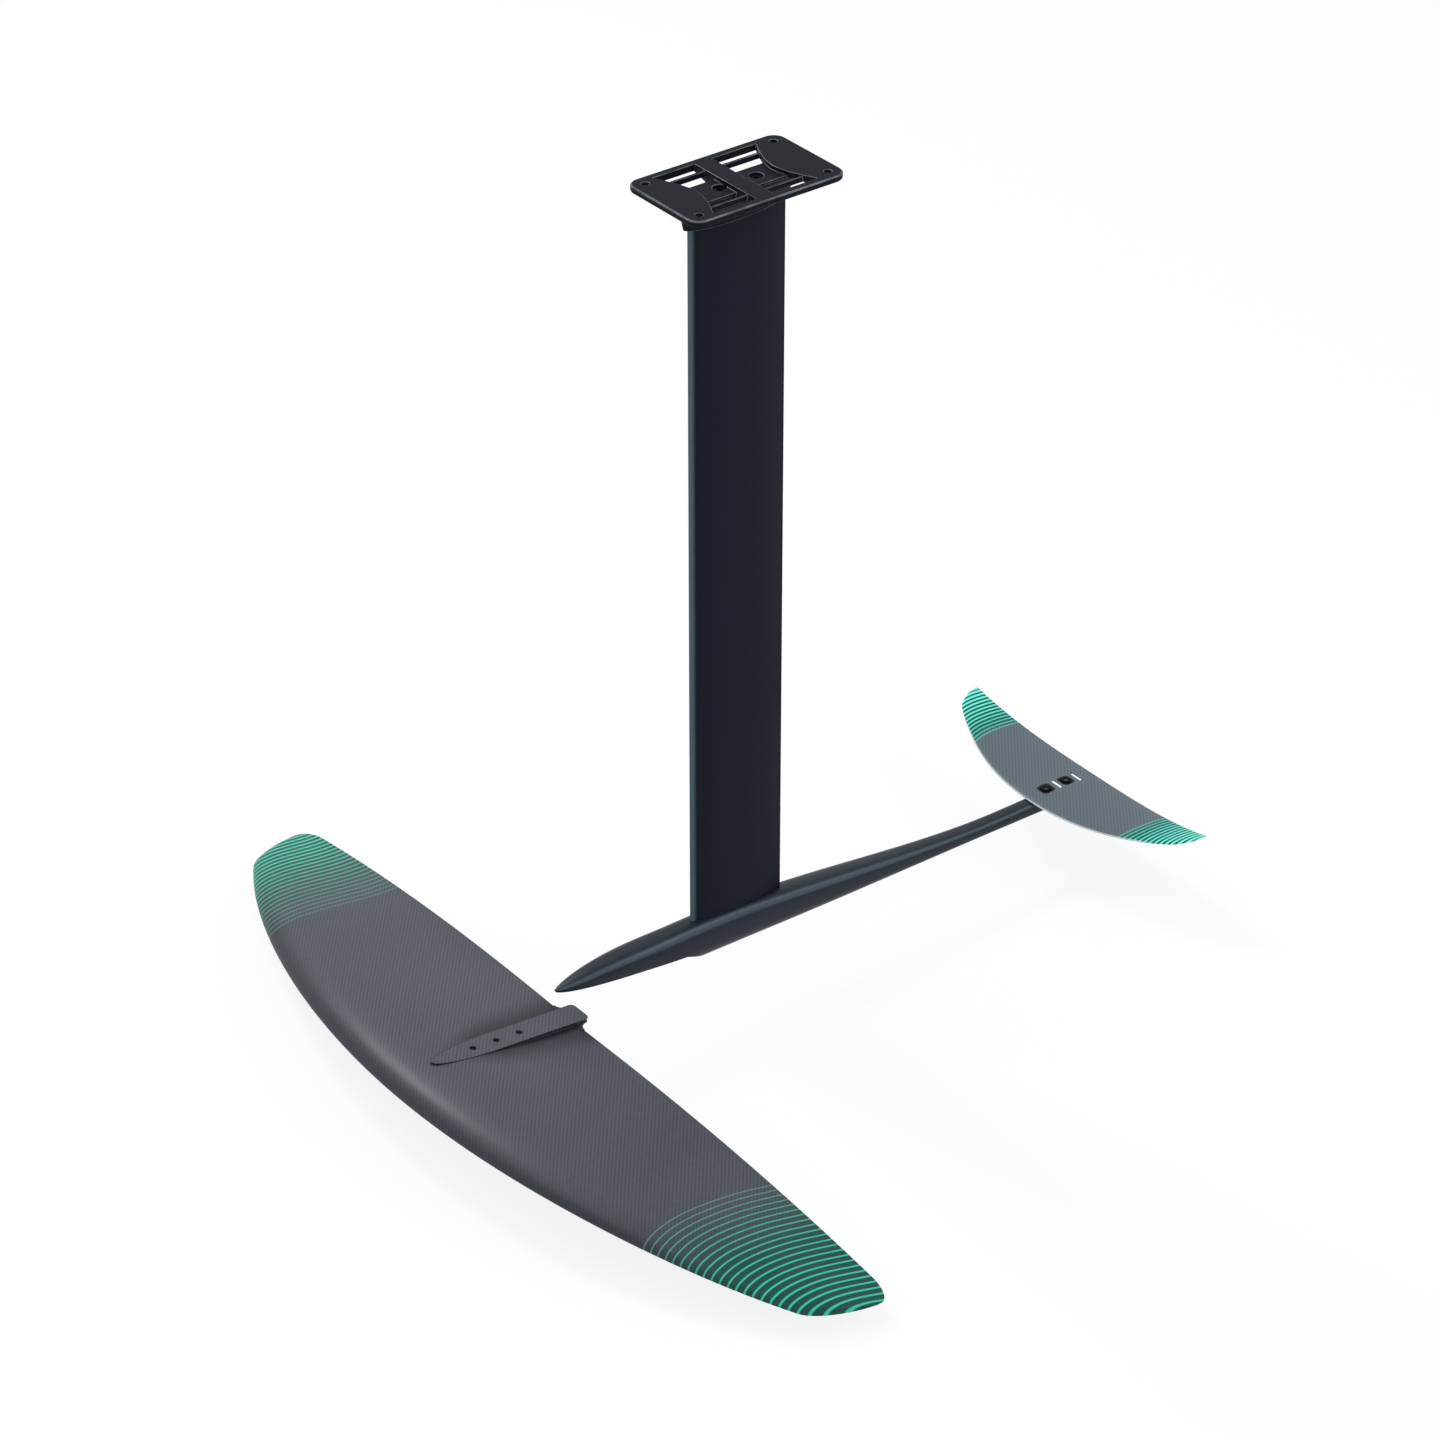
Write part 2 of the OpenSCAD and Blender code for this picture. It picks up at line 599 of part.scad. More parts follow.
// ---- front wing ----
// side is 1 for the upper skin and -1 for the lower skin
function skin_ring(y, side) =
  let (outer = function (u) side > 0 ? wing_upper(u) : wing_lower(u),
       split = side * glue / 2,
       inner = function (u) side > 0 ? max(split, outer(u) - skin_t) : min(split, outer(u) + skin_t),
       points = concat(
         [wing_point(y, 0, split)],
         [for (i = [1:foil_n]) let (u = u_of(i, foil_n)) wing_point(y, u, outer(u))],
         [wing_point(y, 1, split)],
         [for (i = [foil_n - 1:-1:1]) let (u = u_of(i, foil_n)) wing_point(y, u, inner(u))]))
  side > 0 ? points : concat([points[0]], [for (i = [len(points) - 1:-1:1]) points[i]]);

core_first = 3;       // chordwise steps where the foam core starts and ends
core_last = foil_n - 4;
function core_ring(y) =
  let (us = [for (i = [core_first:core_last]) u_of(i, foil_n)], n = len(us))
  concat(
    [for (u = us) wing_point(y, u, wing_upper(u) - skin_t - glue)],
    [for (i = [n - 1:-1:0]) wing_point(y, us[i], wing_lower(us[i]) + skin_t + glue)]);

module at_wing_screws() {
  for (x = wing_screw_x) translate([x, 0, pad_z(x)]) rotate([0, pad_angle, 0]) children();
}

module bush_bores() {
  at_wing_screws() translate([0, 0, -bore_reach]) cylinder(h = 2 * bore_reach, r = bush_r + 2 * screw_gap);
}

module wing_skin(side) {
  difference() {
    loft([for (j = [0:wing_n]) skin_ring(span_y(j, wing_n, half_span), side)]);
    bush_bores();
  }
}

module front_wing_upper_skin() {
  color([0.33, 0.35, 0.38]) wing_skin(1);
}

module front_wing_lower_skin() {
  color([0.3, 0.32, 0.35]) wing_skin(-1);
}

module front_wing_core() {
  color([0.85, 0.82, 0.7]) difference() {
    loft([for (j = [1:wing_n - 1]) core_ring(span_y(j, wing_n, half_span))]);
    bush_bores();
  }
}

// half width of the pad in plan: pointed front, straight sides
function pad_half(x) =
  let (t = clamp((x - pad_front_x) / pad_nose_l))
  pad_w / 2 * sqrt(max(0.002, 1 - pow(1 - t, 2)));
function pad_low_z(x, y) =
  let (u = (x - wing_le(y)) / wing_chord(y))
  u < 1 ? wing_mid_z(y) + wing_upper(u) + glue : wing_z - pad_tongue;
function pad_ring(x) =
  let (w = pad_half(x), across = 6, ys = [for (k = [0:across]) w * (2 * k / across - 1)])
  concat(
    [for (k = [across:-1:0]) [x, ys[k], pad_z(x)]],
    [for (y = ys) [x, y, pad_low_z(x, y)]]);
pad_te = wing_x + root_chord;
pad_stations = concat(
  [for (i = [0:9]) pad_front_x + pad_nose_l * (1 - cos(90 * i / 9))],
  [for (i = [1:8]) pad_front_x + pad_nose_l + (pad_te - 0.2 - pad_front_x - pad_nose_l) * i / 8],
  [pad_te + 0.6, pad_end_x]);

// thin webs in the corners between the pad's end and the trailing edge
module pad_webs() {
  r = pad_fillet;
  y0 = pad_w / 2;
  steps = 10;
  for (s = [0, 1]) mirror([0, s, 0]) translate([0, 0, wing_z - pad_tongue]) linear_extrude(2 * pad_tongue)
    polygon(concat(
      [for (i = [0:steps]) let (y = y0 - over + (r + over) * i / steps) [wing_te(y) + glue, y]],
      [for (i = [1:steps]) let (a = 90 * i / steps)
        [pad_te + 1 + r * (1 - cos(a)), y0 + r * (1 - sin(a))]],
      [[pad_te + 1 + r, y0 - over]]));
}

module front_wing_pad() {
  color([0.34, 0.36, 0.39]) difference() {
    union() {
      loft([for (x = pad_stations) pad_ring(x)]);
      pad_webs();
    }
    at_wing_screws() translate([0, 0, -bore_reach])
      cylinder(h = bore_reach - bush_cover, r = bush_r + 2 * screw_gap);
    at_wing_screws() translate([0, 0, -over - bush_cover])
      cylinder(h = bush_cover + 2 * over, r = m6_r + 0.75);
  }
}

function bush_low(x) = (pad_z(x) - lower_z(x)) / cos(pad_angle);

module front_wing_bushes() {
  color([0.6, 0.6, 0.62]) for (x = wing_screw_x)
    translate([x, 0, pad_z(x)]) rotate([0, pad_angle, 0]) difference() {
      translate([0, 0, 0.6 - bush_low(x)])
        cylinder(h = bush_low(x) - 0.6 - bush_cover - screw_gap, r = bush_r);
      translate([0, 0, -bore_reach]) cylinder(h = bore_reach, r = m6_r + 5 * screw_gap);
      translate([0, 0, 0.6 - bush_low(x) - over]) cylinder(h = wing_head_h + over, r = wing_head_r + 0.3);
    }
}

module front_wing_screws() {
  color([0.2, 0.21, 0.22]) for (x = wing_screw_x)
    translate([x, 0, pad_z(x)]) rotate([0, pad_angle, 0])
      translate([0, 0, 0.6 - bush_low(x) + wing_head_h - 0.1 - screw_back]) mirror([0, 0, 1])
        cap_screw(wing_head_r, wing_head_h, m6_r, bush_low(x) - 0.6 - wing_head_h + 0.1 + wing_grip);
}

top_plate();
mast_head_screws();
mast_head_washers();
mast_head_inserts();
mast_extrusion();
mast_foot_inserts();
mast_foot_washers();
mast_foot_screws();
fuselage();
nose_inserts();
tail_inserts();
stabilizer();
stabilizer_shim();
stabilizer_washers();
stabilizer_screws();
front_wing_upper_skin();
front_wing_lower_skin();
front_wing_core();
front_wing_pad();
front_wing_bushes();
front_wing_screws();
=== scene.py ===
"""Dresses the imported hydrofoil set: cast plate, mast, fuselage, stabiliser and front wing."""
import math

import bmesh
import bpy
from bpy.props import FloatProperty, FloatVectorProperty, IntProperty, PointerProperty
from mathutils import Euler, Matrix, Vector


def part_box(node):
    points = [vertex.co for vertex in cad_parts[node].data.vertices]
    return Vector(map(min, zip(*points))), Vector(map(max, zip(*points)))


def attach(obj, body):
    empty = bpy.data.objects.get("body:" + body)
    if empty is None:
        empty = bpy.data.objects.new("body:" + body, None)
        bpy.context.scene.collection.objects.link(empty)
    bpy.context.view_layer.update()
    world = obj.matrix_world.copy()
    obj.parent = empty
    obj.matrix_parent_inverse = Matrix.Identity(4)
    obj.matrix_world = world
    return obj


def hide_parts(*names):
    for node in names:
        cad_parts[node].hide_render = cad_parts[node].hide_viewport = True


bl_info = {
    "name": "Hydrofoil Set",
    "version": (1, 0, 0),
    "blender": (4, 5, 0),
    "location": "View3D > Sidebar > Foil",
    "description": "Builds the finished pieces of a hydrofoil set round its packed frame",
    "category": "Object",
}

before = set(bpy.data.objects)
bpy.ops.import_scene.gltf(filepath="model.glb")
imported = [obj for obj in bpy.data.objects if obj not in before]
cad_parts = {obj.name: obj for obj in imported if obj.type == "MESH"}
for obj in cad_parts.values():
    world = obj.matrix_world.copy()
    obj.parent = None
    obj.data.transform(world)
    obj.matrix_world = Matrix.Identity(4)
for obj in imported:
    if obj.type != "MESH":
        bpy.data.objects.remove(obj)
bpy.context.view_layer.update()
MM = 0.001


def low_mm(node):
    """A node's lowest corner at rest, in millimetres."""
    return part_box(node)[0] / MM


def high_mm(node):
    """A node's highest corner at rest, in millimetres."""
    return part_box(node)[1] / MM


def pair(node):
    """Places along X of the two round pieces of a node."""
    r = high_mm(node).y
    return low_mm(node).x + r, high_mm(node).x - r


# ---- read off the frame, in millimetres ----
CROWN_Z = high_mm("fuselage").z
NOSE_X = low_mm("fuselage").x
TAIL_X = high_mm("fuselage").x
MAST_LE = low_mm("mast_extrusion").x
MAST_CHORD = high_mm("mast_extrusion").x - MAST_LE
MAST_T = 2 * high_mm("mast_extrusion").y
MAST_TOP = high_mm("mast_extrusion").z
MAST_FOOT = low_mm("mast_extrusion").z
WING_X = low_mm("front_wing_upper_skin").x
HALF_SPAN = high_mm("front_wing_upper_skin").y
PAD_FRONT = low_mm("front_wing_pad").x
PAD_END = high_mm("front_wing_pad").x
STAB_HALF = high_mm("stabilizer").y
STAB_TE = high_mm("stabilizer").x
SHIM_TOP = high_mm("stabilizer_shim").z
SHIM_BED = low_mm("stabilizer_shim").z
FOOT_PORTS = pair("mast_foot_washers")
STAB_SCREWS = pair("stabilizer_washers")

# ---- set as in the solids, in millimetres ----
# the fuselage: its crown and keel lines and its half width, with the places along X they change at
CROWN_BEND = -140.0
CROWN_NOSE_FALL = 13.0
CROWN_TAIL_FALL = 39.0
TAIL_START = -60.0
STAB_BED = 116.0
KEEL_DEPTH = 47.0
KEEL_FALL = 12.0
NOSE_TAPER = -110.0
TAIL_TAPER = 40.0
TAIL_HALF = 10.0
TAIL_CAP = 20.0
# the nose seat and the step behind it
TILT = math.radians(5.5)
SEAT_DEPTH = 16.0
SEAT_COVER = 9.0
STEP_X = -80.0
STEP_GAP = 0.8
# the front wing and its pad
WING_DROP = 59.3
WING_Z = CROWN_Z - WING_DROP
WING_SWEEP = 156.0
WING_TIP_SWEEP = 14.0
WING_TE_SWEEP = 15.0
WING_DROOP = 46.0
WING_EDGE = 0.45
PAD_RISE = 14.023
PAD_Z = WING_Z + PAD_RISE
PAD_NOSE = 78.0
PAD_HALF = 16.5
WING_SCREWS = (WING_X + 102.3, WING_X + 132.8, WING_X + 163.3)
NOSE_SCREWS = tuple(x + STEP_X - STEP_GAP - PAD_END for x in WING_SCREWS)
# the stabiliser
STAB_MID = SHIM_TOP + 1.2
STAB_SWEEP = 66.0
STAB_TE_SWEEP = 4.0
STAB_RISE = 20.0
STAB_EDGE = 0.4


# ---- sizes and colours a user would change ----
def length(name, text, value, low=0.0, high=1000.0):
    return FloatProperty(name=name, description=text + ", in millimetres", default=value,
                         min=low, max=high)


def colour(name, text, value):
    return FloatVectorProperty(name=name, description=text, default=value, size=3,
                               min=0.0, max=1.0, subtype="COLOR")


def steps(name, text, value):
    return IntProperty(name=name, description=text, default=value, min=12, max=240)


class FOIL_PG_plate(bpy.types.PropertyGroup):
    edge: length("Edge rounding", "Rounding of the casting's inner edges", 0.6, 0.1, 1.0)
    rim: length("Rim rounding", "Rounding of the rim's lower edge", 2.8, 0.5, 4.0)
    paint: colour("Paint", "Colour of the cast plate", (0.0060, 0.0080, 0.0115))
    # the edge wear colour is rubbed paint and also a painted highlight along the edges
    wear_and_highlight: colour("Edge wear", "Colour of the casting where its edges are rubbed", (0.110, 0.132, 0.148))


class FOIL_PG_mast(bpy.types.PropertyGroup):
    rows: steps("Chord steps", "Chordwise steps of the mast's section", 60)
    anodise: colour("Anodising", "Colour of the mast", (0.0075, 0.0095, 0.0155))
    # the leading edge colour is a painted highlight, paler than the anodising
    nose: colour("Leading edge", "Colour of the thinly anodised leading edge", (0.100, 0.135, 0.160))


class FOIL_PG_fuselage(bpy.types.PropertyGroup):
    half: length("Half width", "Half of the fuselage's width under the mast", 18.0, 14.0, 22.0)
    sides: steps("Sides", "Points round the fuselage's section", 72)
    paint: colour("Anodising", "Colour of the fuselage", (0.011, 0.0145, 0.022))
    # the shoulder colour is a painted highlight where the surface turns from side to crown
    shoulder_highlight: colour("Shoulder", "Colour of the rubbed shoulders", (0.062, 0.080, 0.100))


class FOIL_PG_wing(bpy.types.PropertyGroup):
    chord: length("Root chord", "Chord of the front wing on the middle line", 230.0, 200.0, 260.0)
    rise: length("Upper rise", "Height of the upper surface over the chord line", 19.6, 15.0, 24.0)
    fall: length("Lower fall", "Depth of the lower surface under the chord line", 8.0, 4.0, 12.0)
    rows: steps("Chord steps", "Chordwise steps of the front wing's section", 44)
    stations: steps("Stations", "Spanwise steps of the front wing", 120)
    tow: length("Tow width", "Width of a carbon tow in the weave", 1.35, 1.0, 6.0)
    carbon: colour("Carbon", "Colour of the light tows", (0.090, 0.099, 0.116))
    carbon_dark: colour("Carbon, dark", "Colour of the dark tows", (0.043, 0.048, 0.058))
    stripe: colour("Stripes", "Colour of the outer tip stripes", (0.045, 0.47, 0.32))
    stripe_in: colour("Stripes, inner", "Colour of the first tip stripes", (0.110, 0.26, 0.230))
    stripe_base: colour("Stripe ground", "Colour under the tip stripes", (0.003, 0.062, 0.046))


class FOIL_PG_stabilizer(bpy.types.PropertyGroup):
    chord: length("Root chord", "Chord of the stabiliser on the middle line", 98.0, 80.0, 110.0)
    rise: length("Upper rise", "Height of the upper surface over the chord line", 6.4, 4.0, 9.0)
    fall: length("Lower fall", "Depth of the lower surface under the chord line", 2.2, 1.0, 4.0)
    rows: steps("Chord steps", "Chordwise steps of the stabiliser's section", 32)
    stations: steps("Stations", "Spanwise steps of the stabiliser", 80)
    shell: colour("Shell", "Colour of the moulded stabiliser", (0.118, 0.148, 0.170))
    tick: colour("Ticks", "Colour of the trim marks", (0.90, 0.92, 0.93))
    stripe: colour("Stripes", "Colour of the outer tip stripes", (0.17, 0.86, 0.68))
    stripe_in: colour("Stripes, inner", "Colour of the first tip stripes", (0.075, 0.60, 0.46))
    stripe_base: colour("Stripe ground", "Colour under the tip stripes", (0.002, 0.085, 0.070))
    # the tip edge colour is a painted highlight where the tip turns up
    tip: colour("Tip edge", "Colour of the pale edge at the very tip", (0.42, 0.80, 0.66))


class FOIL_PG_hardware(bpy.types.PropertyGroup):
    lacquer: colour("Lacquer", "Colour of the lacquered screws and washers", (0.004, 0.0045, 0.006))
    socket: colour("Sockets", "Colour of the bare metal in the sockets", (0.12, 0.14, 0.15))


class FOIL_PG_stage(bpy.types.PropertyGroup):
    floor_z: FloatProperty(name="Floor height", description="Height of the floor", default=-1.02,
                           unit="LENGTH")
    tone: FloatProperty(name="Floor tone", description="Whiteness of the floor", default=0.86,
                        min=0.0, max=1.0, subtype="FACTOR")
    lens: FloatProperty(name="Lens", description="Focal length of the camera, in millimetres",
                        default=117.6, min=20.0)
    lamp: FloatProperty(name="Lamp strength", description="Strength of the soft lamps", default=1.0,
                        min=0.0)


# ---- shader maths as expressions ----
class Sock:
    """A node's output that takes part in maths with numbers and other outputs."""

    def __init__(self, tree, out):
        self.tree = tree
        self.out = out

    def math(self, op, *others, clamp=False):
        n = self.tree.nodes.new("ShaderNodeMath")
        n.operation = op
        n.use_clamp = clamp
        for slot, value in zip(n.inputs, (self,) + others):
            if isinstance(value, Sock):
                self.tree.links.new(value.out, slot)
            else:
                slot.default_value = value
        return Sock(self.tree, n.outputs[0])

    def __add__(self, o):
        return self.math("ADD", o)

    def __sub__(self, o):
        return self.math("SUBTRACT", o)

    def __rsub__(self, o):
        return self.math("MULTIPLY", -1.0).math("ADD", o)

    def __mul__(self, o):
        return self.math("MULTIPLY", o)

    def __truediv__(self, o):
        return self.math("DIVIDE", o)

    def __pow__(self, o):
        return self.math("POWER", o)

    def __gt__(self, o):
        return self.math("GREATER_THAN", o)

    def __lt__(self, o):
        return self.math("LESS_THAN", o)

    __radd__ = __add__
    __rmul__ = __mul__

    def abs(self):
        return self.math("ABSOLUTE")

    def fract(self):
        return self.math("FRACT")

    def floor(self):
        return self.math("FLOOR")

    def clip(self):
        return self.math("ADD", 0.0, clamp=True)

    def hi(self, o):
        return self.math("MAXIMUM", o)

    def lo(self, o):
        return self.math("MINIMUM", o)


class Nodes:
    """A node tree, with the methods that add nodes to it and feed their sockets."""

    def __init__(self, tree):
        self.tree = tree

    def own(self, kind):
        """The node of a kind that the tree started with."""
        return next(n for n in self.tree.nodes if n.type == kind)

    def feed(self, slot, value):
        """Links an output to a socket, or sets the socket's number or colour."""
        if isinstance(value, Sock):
            value = value.out
        if isinstance(value, bpy.types.NodeSocket):
            self.tree.links.new(value, slot)
        elif slot.type == "RGBA":
            slot.default_value = (*value, 1.0)
        else:
            slot.default_value = value

    def node(self, kind, settings=None, inputs=None):
        """A new node, whose settings are made before its sockets are fed."""
        n = self.tree.nodes.new(kind)
        for key, value in (settings or {}).items():
            setattr(n, key, value)
        for key, value in (inputs or {}).items():
            self.feed(n.inputs[key], value)
        return n

    def background_rays(self):
        """1 where the camera, a reflection or a view through glass meets the background."""
        path = self.node("ShaderNodeLightPath")
        camera, glossy, through = (Sock(self.tree, path.outputs[f"Is {kind} Ray"])
                                   for kind in ("Camera", "Glossy", "Transmission"))
        return camera.hi(glossy).hi(through)

    def cover(self, factor, under, over, output):
        """Mixes one shader over another and links both to the tree's output."""
        both = self.node("ShaderNodeMixShader", inputs={0: factor, 1: under, 2: over})
        self.feed(self.own(output).inputs["Surface"], both.outputs[0])


class Finish(Nodes):
    """One procedural material; x and y are places on the object, in millimetres."""

    def __init__(self, name):
        self.mat = bpy.data.materials.new(name)
        self.mat.use_nodes = True
        super().__init__(self.mat.node_tree)
        self.shader = self.own("BSDF_PRINCIPLED")
        self.place = self.node("ShaderNodeTexCoord").outputs["Object"]
        split = self.node("ShaderNodeSeparateXYZ", inputs={"Vector": self.place})
        self.x = Sock(self.tree, split.outputs["X"]) * (1 / MM)
        self.y = Sock(self.tree, split.outputs["Y"]) * (1 / MM)

    def mix(self, factor, a, b):
        """A colour that goes from a to b as the factor goes from 0 to 1."""
        return self.node("ShaderNodeMix", {"data_type": "RGBA"}, {0: factor, 6: a, 7: b}).outputs[2]

    def noise(self, scale, detail, stretch=(1, 1, 1)):
        m = self.node("ShaderNodeMapping", inputs={"Vector": self.place, "Scale": stretch})
        n = self.node("ShaderNodeTexNoise",
                      inputs={"Vector": m.outputs[0], "Scale": scale, "Detail": detail})
        return Sock(self.tree, n.outputs["Fac"])

    def step(self, value, low, high):
        """0 below low, 1 above high and smooth between them."""
        n = self.node("ShaderNodeMapRange", {"interpolation_type": "SMOOTHSTEP"},
                      {"Value": value, "From Min": low, "From Max": high})
        return Sock(self.tree, n.outputs[0])

    def upward(self):
        """How far the surface faces up, from -1 to 1."""
        normal = self.node("ShaderNodeNewGeometry").outputs["Normal"]
        split = self.node("ShaderNodeSeparateXYZ", inputs={"Vector": normal})
        return Sock(self.tree, split.outputs["Z"])

    def bump(self, height, strength, distance):
        n = self.node("ShaderNodeBump",
                      inputs={"Height": height, "Strength": strength, "Distance": distance})
        self.feed(self.shader.inputs["Normal"], n.outputs[0])

    def put(self, **sockets):
        """Feeds the shader's sockets, named with _ for each space."""
        for key, value in sockets.items():
            self.feed(self.shader.inputs[key.replace("_", " ")], value)


# ---- mesh helpers ----
def mix(a, b, t):
    return a + (b - a) * t


def clamp(v):
    return min(1.0, max(0.0, v))


def ease(v):
    t = clamp(v)
    return t * t * (3 - 2 * t)


def cosine(i, n):
    return (1 - math.cos(math.pi * i / n)) / 2


def hump(u, a, b):
    """Share of the greatest height at u, for a crest at a / (a + b)."""
    c = a / (a + b)
    return (u / c) ** a * ((1 - u) / (1 - c)) ** b if 0 < u < 1 else 0.0


def spow(v, e):
    return math.copysign(abs(v) ** e, v)


def chord_step(a, n):
    """Step round a foil section and share of its chord, at share a of a ring of 2 n points."""
    i = round(a * 2 * n)
    return i, cosine(min(i, 2 * n - i), n)


def loft(stations, sides, place):
    """A closed skin through a ring at each station; place(station, share) is in millimetres."""
    bm = bmesh.new()
    number = bm.verts.layers.int.new("ring")
    verts = bmesh.ops.create_circle(bm, cap_ends=False, segments=sides, radius=1.0)["verts"]
    for k, v in enumerate(verts):
        v[number] = k
    first = list(bm.edges)
    loop = first
    for k, station in enumerate(stations):
        if k > 0:
            grown = bmesh.ops.extrude_edge_only(bm, edges=loop)["geom"]
            verts = [g for g in grown if isinstance(g, bmesh.types.BMVert)]
            edges = [g for g in grown if isinstance(g, bmesh.types.BMEdge)]
            fresh = set(verts)
            loop = [e for e in edges if e.verts[0] in fresh and e.verts[1] in fresh]
        for v in verts:
            v.co = place(station, v[number] / sides) * MM
    bmesh.ops.edgeloop_fill(bm, edges=first)
    bmesh.ops.edgeloop_fill(bm, edges=loop)
    bmesh.ops.recalc_face_normals(bm, faces=bm.faces)
    return bm


def piece(name, bm):
    """A new object from a bmesh, which is freed."""
    mesh = bpy.data.meshes.new(name)
    bm.to_mesh(mesh)
    bm.free()
    ob = bpy.data.objects.new(name, mesh)
    bpy.context.scene.collection.objects.link(ob)
    return ob


def carve(ob, shapes, operation="DIFFERENCE"):
    """Applies a Boolean for each shape, a bmesh or an object, and leaves none of them behind."""
    tools = [s if isinstance(s, bpy.types.Object) else piece("cutter", s) for s in shapes]
    for tool in tools:
        m = ob.modifiers.new("carve", "BOOLEAN")
        m.operation = operation
        m.solver = "EXACT"
        m.object = tool
    apply(ob)
    for tool in tools:
        mesh = tool.data
        bpy.data.objects.remove(tool)
        bpy.data.meshes.remove(mesh)


def apply(ob):
    """Turns an object's modifiers into mesh."""
    graph = bpy.context.evaluated_depsgraph_get()
    graph.update()
    mesh = bpy.data.meshes.new_from_object(ob.evaluated_get(graph))
    old = ob.data
    ob.modifiers.clear()
    ob.data = mesh
    mesh.name = ob.name
    bpy.data.meshes.remove(old)


def bevel(ob, width, segments, angle, material=-1, clamped=True):
    """Rounds the sharp edges and lets the large faces keep their own shading."""
    ob.data.polygons.foreach_set("use_smooth", [True] * len(ob.data.polygons))
    m = ob.modifiers.new("edge", "BEVEL")
    m.limit_method = "ANGLE"
    m.angle_limit = math.radians(angle)
    m.width = width * MM
    m.segments = segments
    m.miter_outer = "MITER_ARC"
    m.material = material
    m.use_clamp_overlap = clamped
    ob.modifiers.new("shading", "WEIGHTED_NORMAL").weight = 100
    apply(ob)


def finish_piece(ob, body, material=None, angle=None):
    """Smooth shading up to an angle and a material, where they are given, then the body."""
    mesh = ob.data
    if angle:
        mesh.polygons.foreach_set("use_smooth", [True] * len(mesh.polygons))
        mesh.set_sharp_from_angle(angle=math.radians(angle))
    if material:
        mesh.materials.clear()
        mesh.materials.append(material)
    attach(ob, body)


def rod(r, z0, z1, x, y=0.0, tilt=0.0, lift=0.0, sides=40):
    """A capped cylinder along Z, leaned by tilt and then raised by lift, for cutting."""
    bm = bmesh.new()
    bmesh.ops.create_cone(bm, cap_ends=True, segments=sides, radius1=r * MM, radius2=r * MM,
                          depth=(z1 - z0) * MM)
    bmesh.ops.translate(bm, verts=bm.verts, vec=Vector((0, 0, (z0 + z1) / 2)) * MM)
    bmesh.ops.rotate(bm, verts=bm.verts, cent=(0, 0, 0), matrix=Matrix.Rotation(tilt, 3, "Y"))
    bmesh.ops.translate(bm, verts=bm.verts, vec=Vector((x, y, lift)) * MM)
    return bm


def block(low, high):
    """A box between two corners, for cutting."""
    bm = bmesh.new()
    bmesh.ops.create_cube(bm, size=1.0)
    low = Vector(low) * MM
    high = Vector(high) * MM
    bmesh.ops.scale(bm, verts=bm.verts, vec=high - low)
    bmesh.ops.translate(bm, verts=bm.verts, vec=(high + low) / 2)
    return bm


# ---- sections, by the same rules as the solids ----
def mast_half(u, t, edge=0.9, crest=0.4):
    """Half thickness of the mast at share u of its chord."""
    if u < crest:
        return t / 2 * math.sqrt(max(0.0, 1 - ((crest - u) / crest) ** 2))
    return max(t / 2 * (1 - ((u - crest) / (1 - crest)) ** 2.2), edge / 2)


def crown(x):
    """The fuselage's highest line."""
    if x < CROWN_BEND:
        return CROWN_Z - CROWN_NOSE_FALL * ((CROWN_BEND - x) / (CROWN_BEND - NOSE_X)) ** 2.2
    return CROWN_Z - CROWN_TAIL_FALL * ease((x - TAIL_START) / (TAIL_X - STAB_BED - TAIL_START))


def seat(x):
    """The flat under the nose, which the pad meets."""
    return CROWN_Z - SEAT_DEPTH - (x - NOSE_X) * math.tan(TILT)


def keel(x, blend=60.0):
    """The lowest line; ahead of the step it rises to follow the seat that is cut there."""
    straight = CROWN_Z - KEEL_DEPTH - KEEL_FALL * (x - TAIL_START) / (TAIL_X - TAIL_START)
    return max(straight, mix(seat(x) - SEAT_COVER, straight, ease((x - STEP_X + blend) / blend)))


def tail_round(x):
    """Share of the width and height left in the rounded end of the tail."""
    if x < TAIL_X - TAIL_CAP:
        return 1.0
    return math.sqrt(max(0.09, 1 - ((x - TAIL_X + TAIL_CAP) / TAIL_CAP) ** 2))


def fuselage_half(x, half):
    """Half width of the fuselage, for a given half width under the mast."""
    if x < NOSE_TAPER:
        return half * math.sqrt(max(0.012, 1 - ((NOSE_TAPER - x) / (NOSE_TAPER - NOSE_X)) ** 2))
    thinned = ease((x - TAIL_TAPER) / (TAIL_X - STAB_BED - TAIL_TAPER))
    return mix(half, TAIL_HALF, thinned) * tail_round(x)


def rounded_tip(e, start):
    """Share of the chord left at share e of the half span, for a tip rounded from start on."""
    if e < start:
        return 1.0
    return math.sqrt(max(0.02, 1 - ((e - start) / (1 - start)) ** 2))


def span(j, n, half):
    """Place of station j of n across the span, closer together at the tips."""
    t = 2 * j / n - 1
    return half * (0.7 * math.sin(math.pi / 2 * t) + 0.3 * t)


def eta(y):
    """Share of the front wing's half span."""
    return abs(y) / HALF_SPAN


def wing_tip(y):
    return rounded_tip(eta(y), 0.94)


def wing_te(y, chord):
    """The front wing's trailing edge."""
    return WING_X + chord + WING_TE_SWEEP * eta(y) ** 1.2 - WING_TE_SWEEP * (1 - wing_tip(y))


def wing_chord(y, chord):
    """The front wing's chord, for a given chord on the middle line."""
    plain = WING_X + WING_SWEEP * eta(y) ** 2 + WING_TIP_SWEEP * eta(y) ** 8
    return (wing_te(y, chord) - plain) * wing_tip(y)


def wing_mid(y):
    """Height of the front wing's chord line."""
    return WING_Z - WING_DROOP * eta(y) ** 2.2


def wing_upper(u, rise):
    return rise * hump(u, 0.5, 1.6) + WING_EDGE * u


def wing_lower(u, fall):
    return -fall * hump(u, 0.5, 1.1) - WING_EDGE * u


def pad_z(x):
    """Height of the pad's top face."""
    return PAD_Z + (WING_SCREWS[1] - x) * math.tan(TILT)


def stab_eta(y):
    """Share of the stabiliser's half span."""
    return abs(y) / STAB_HALF


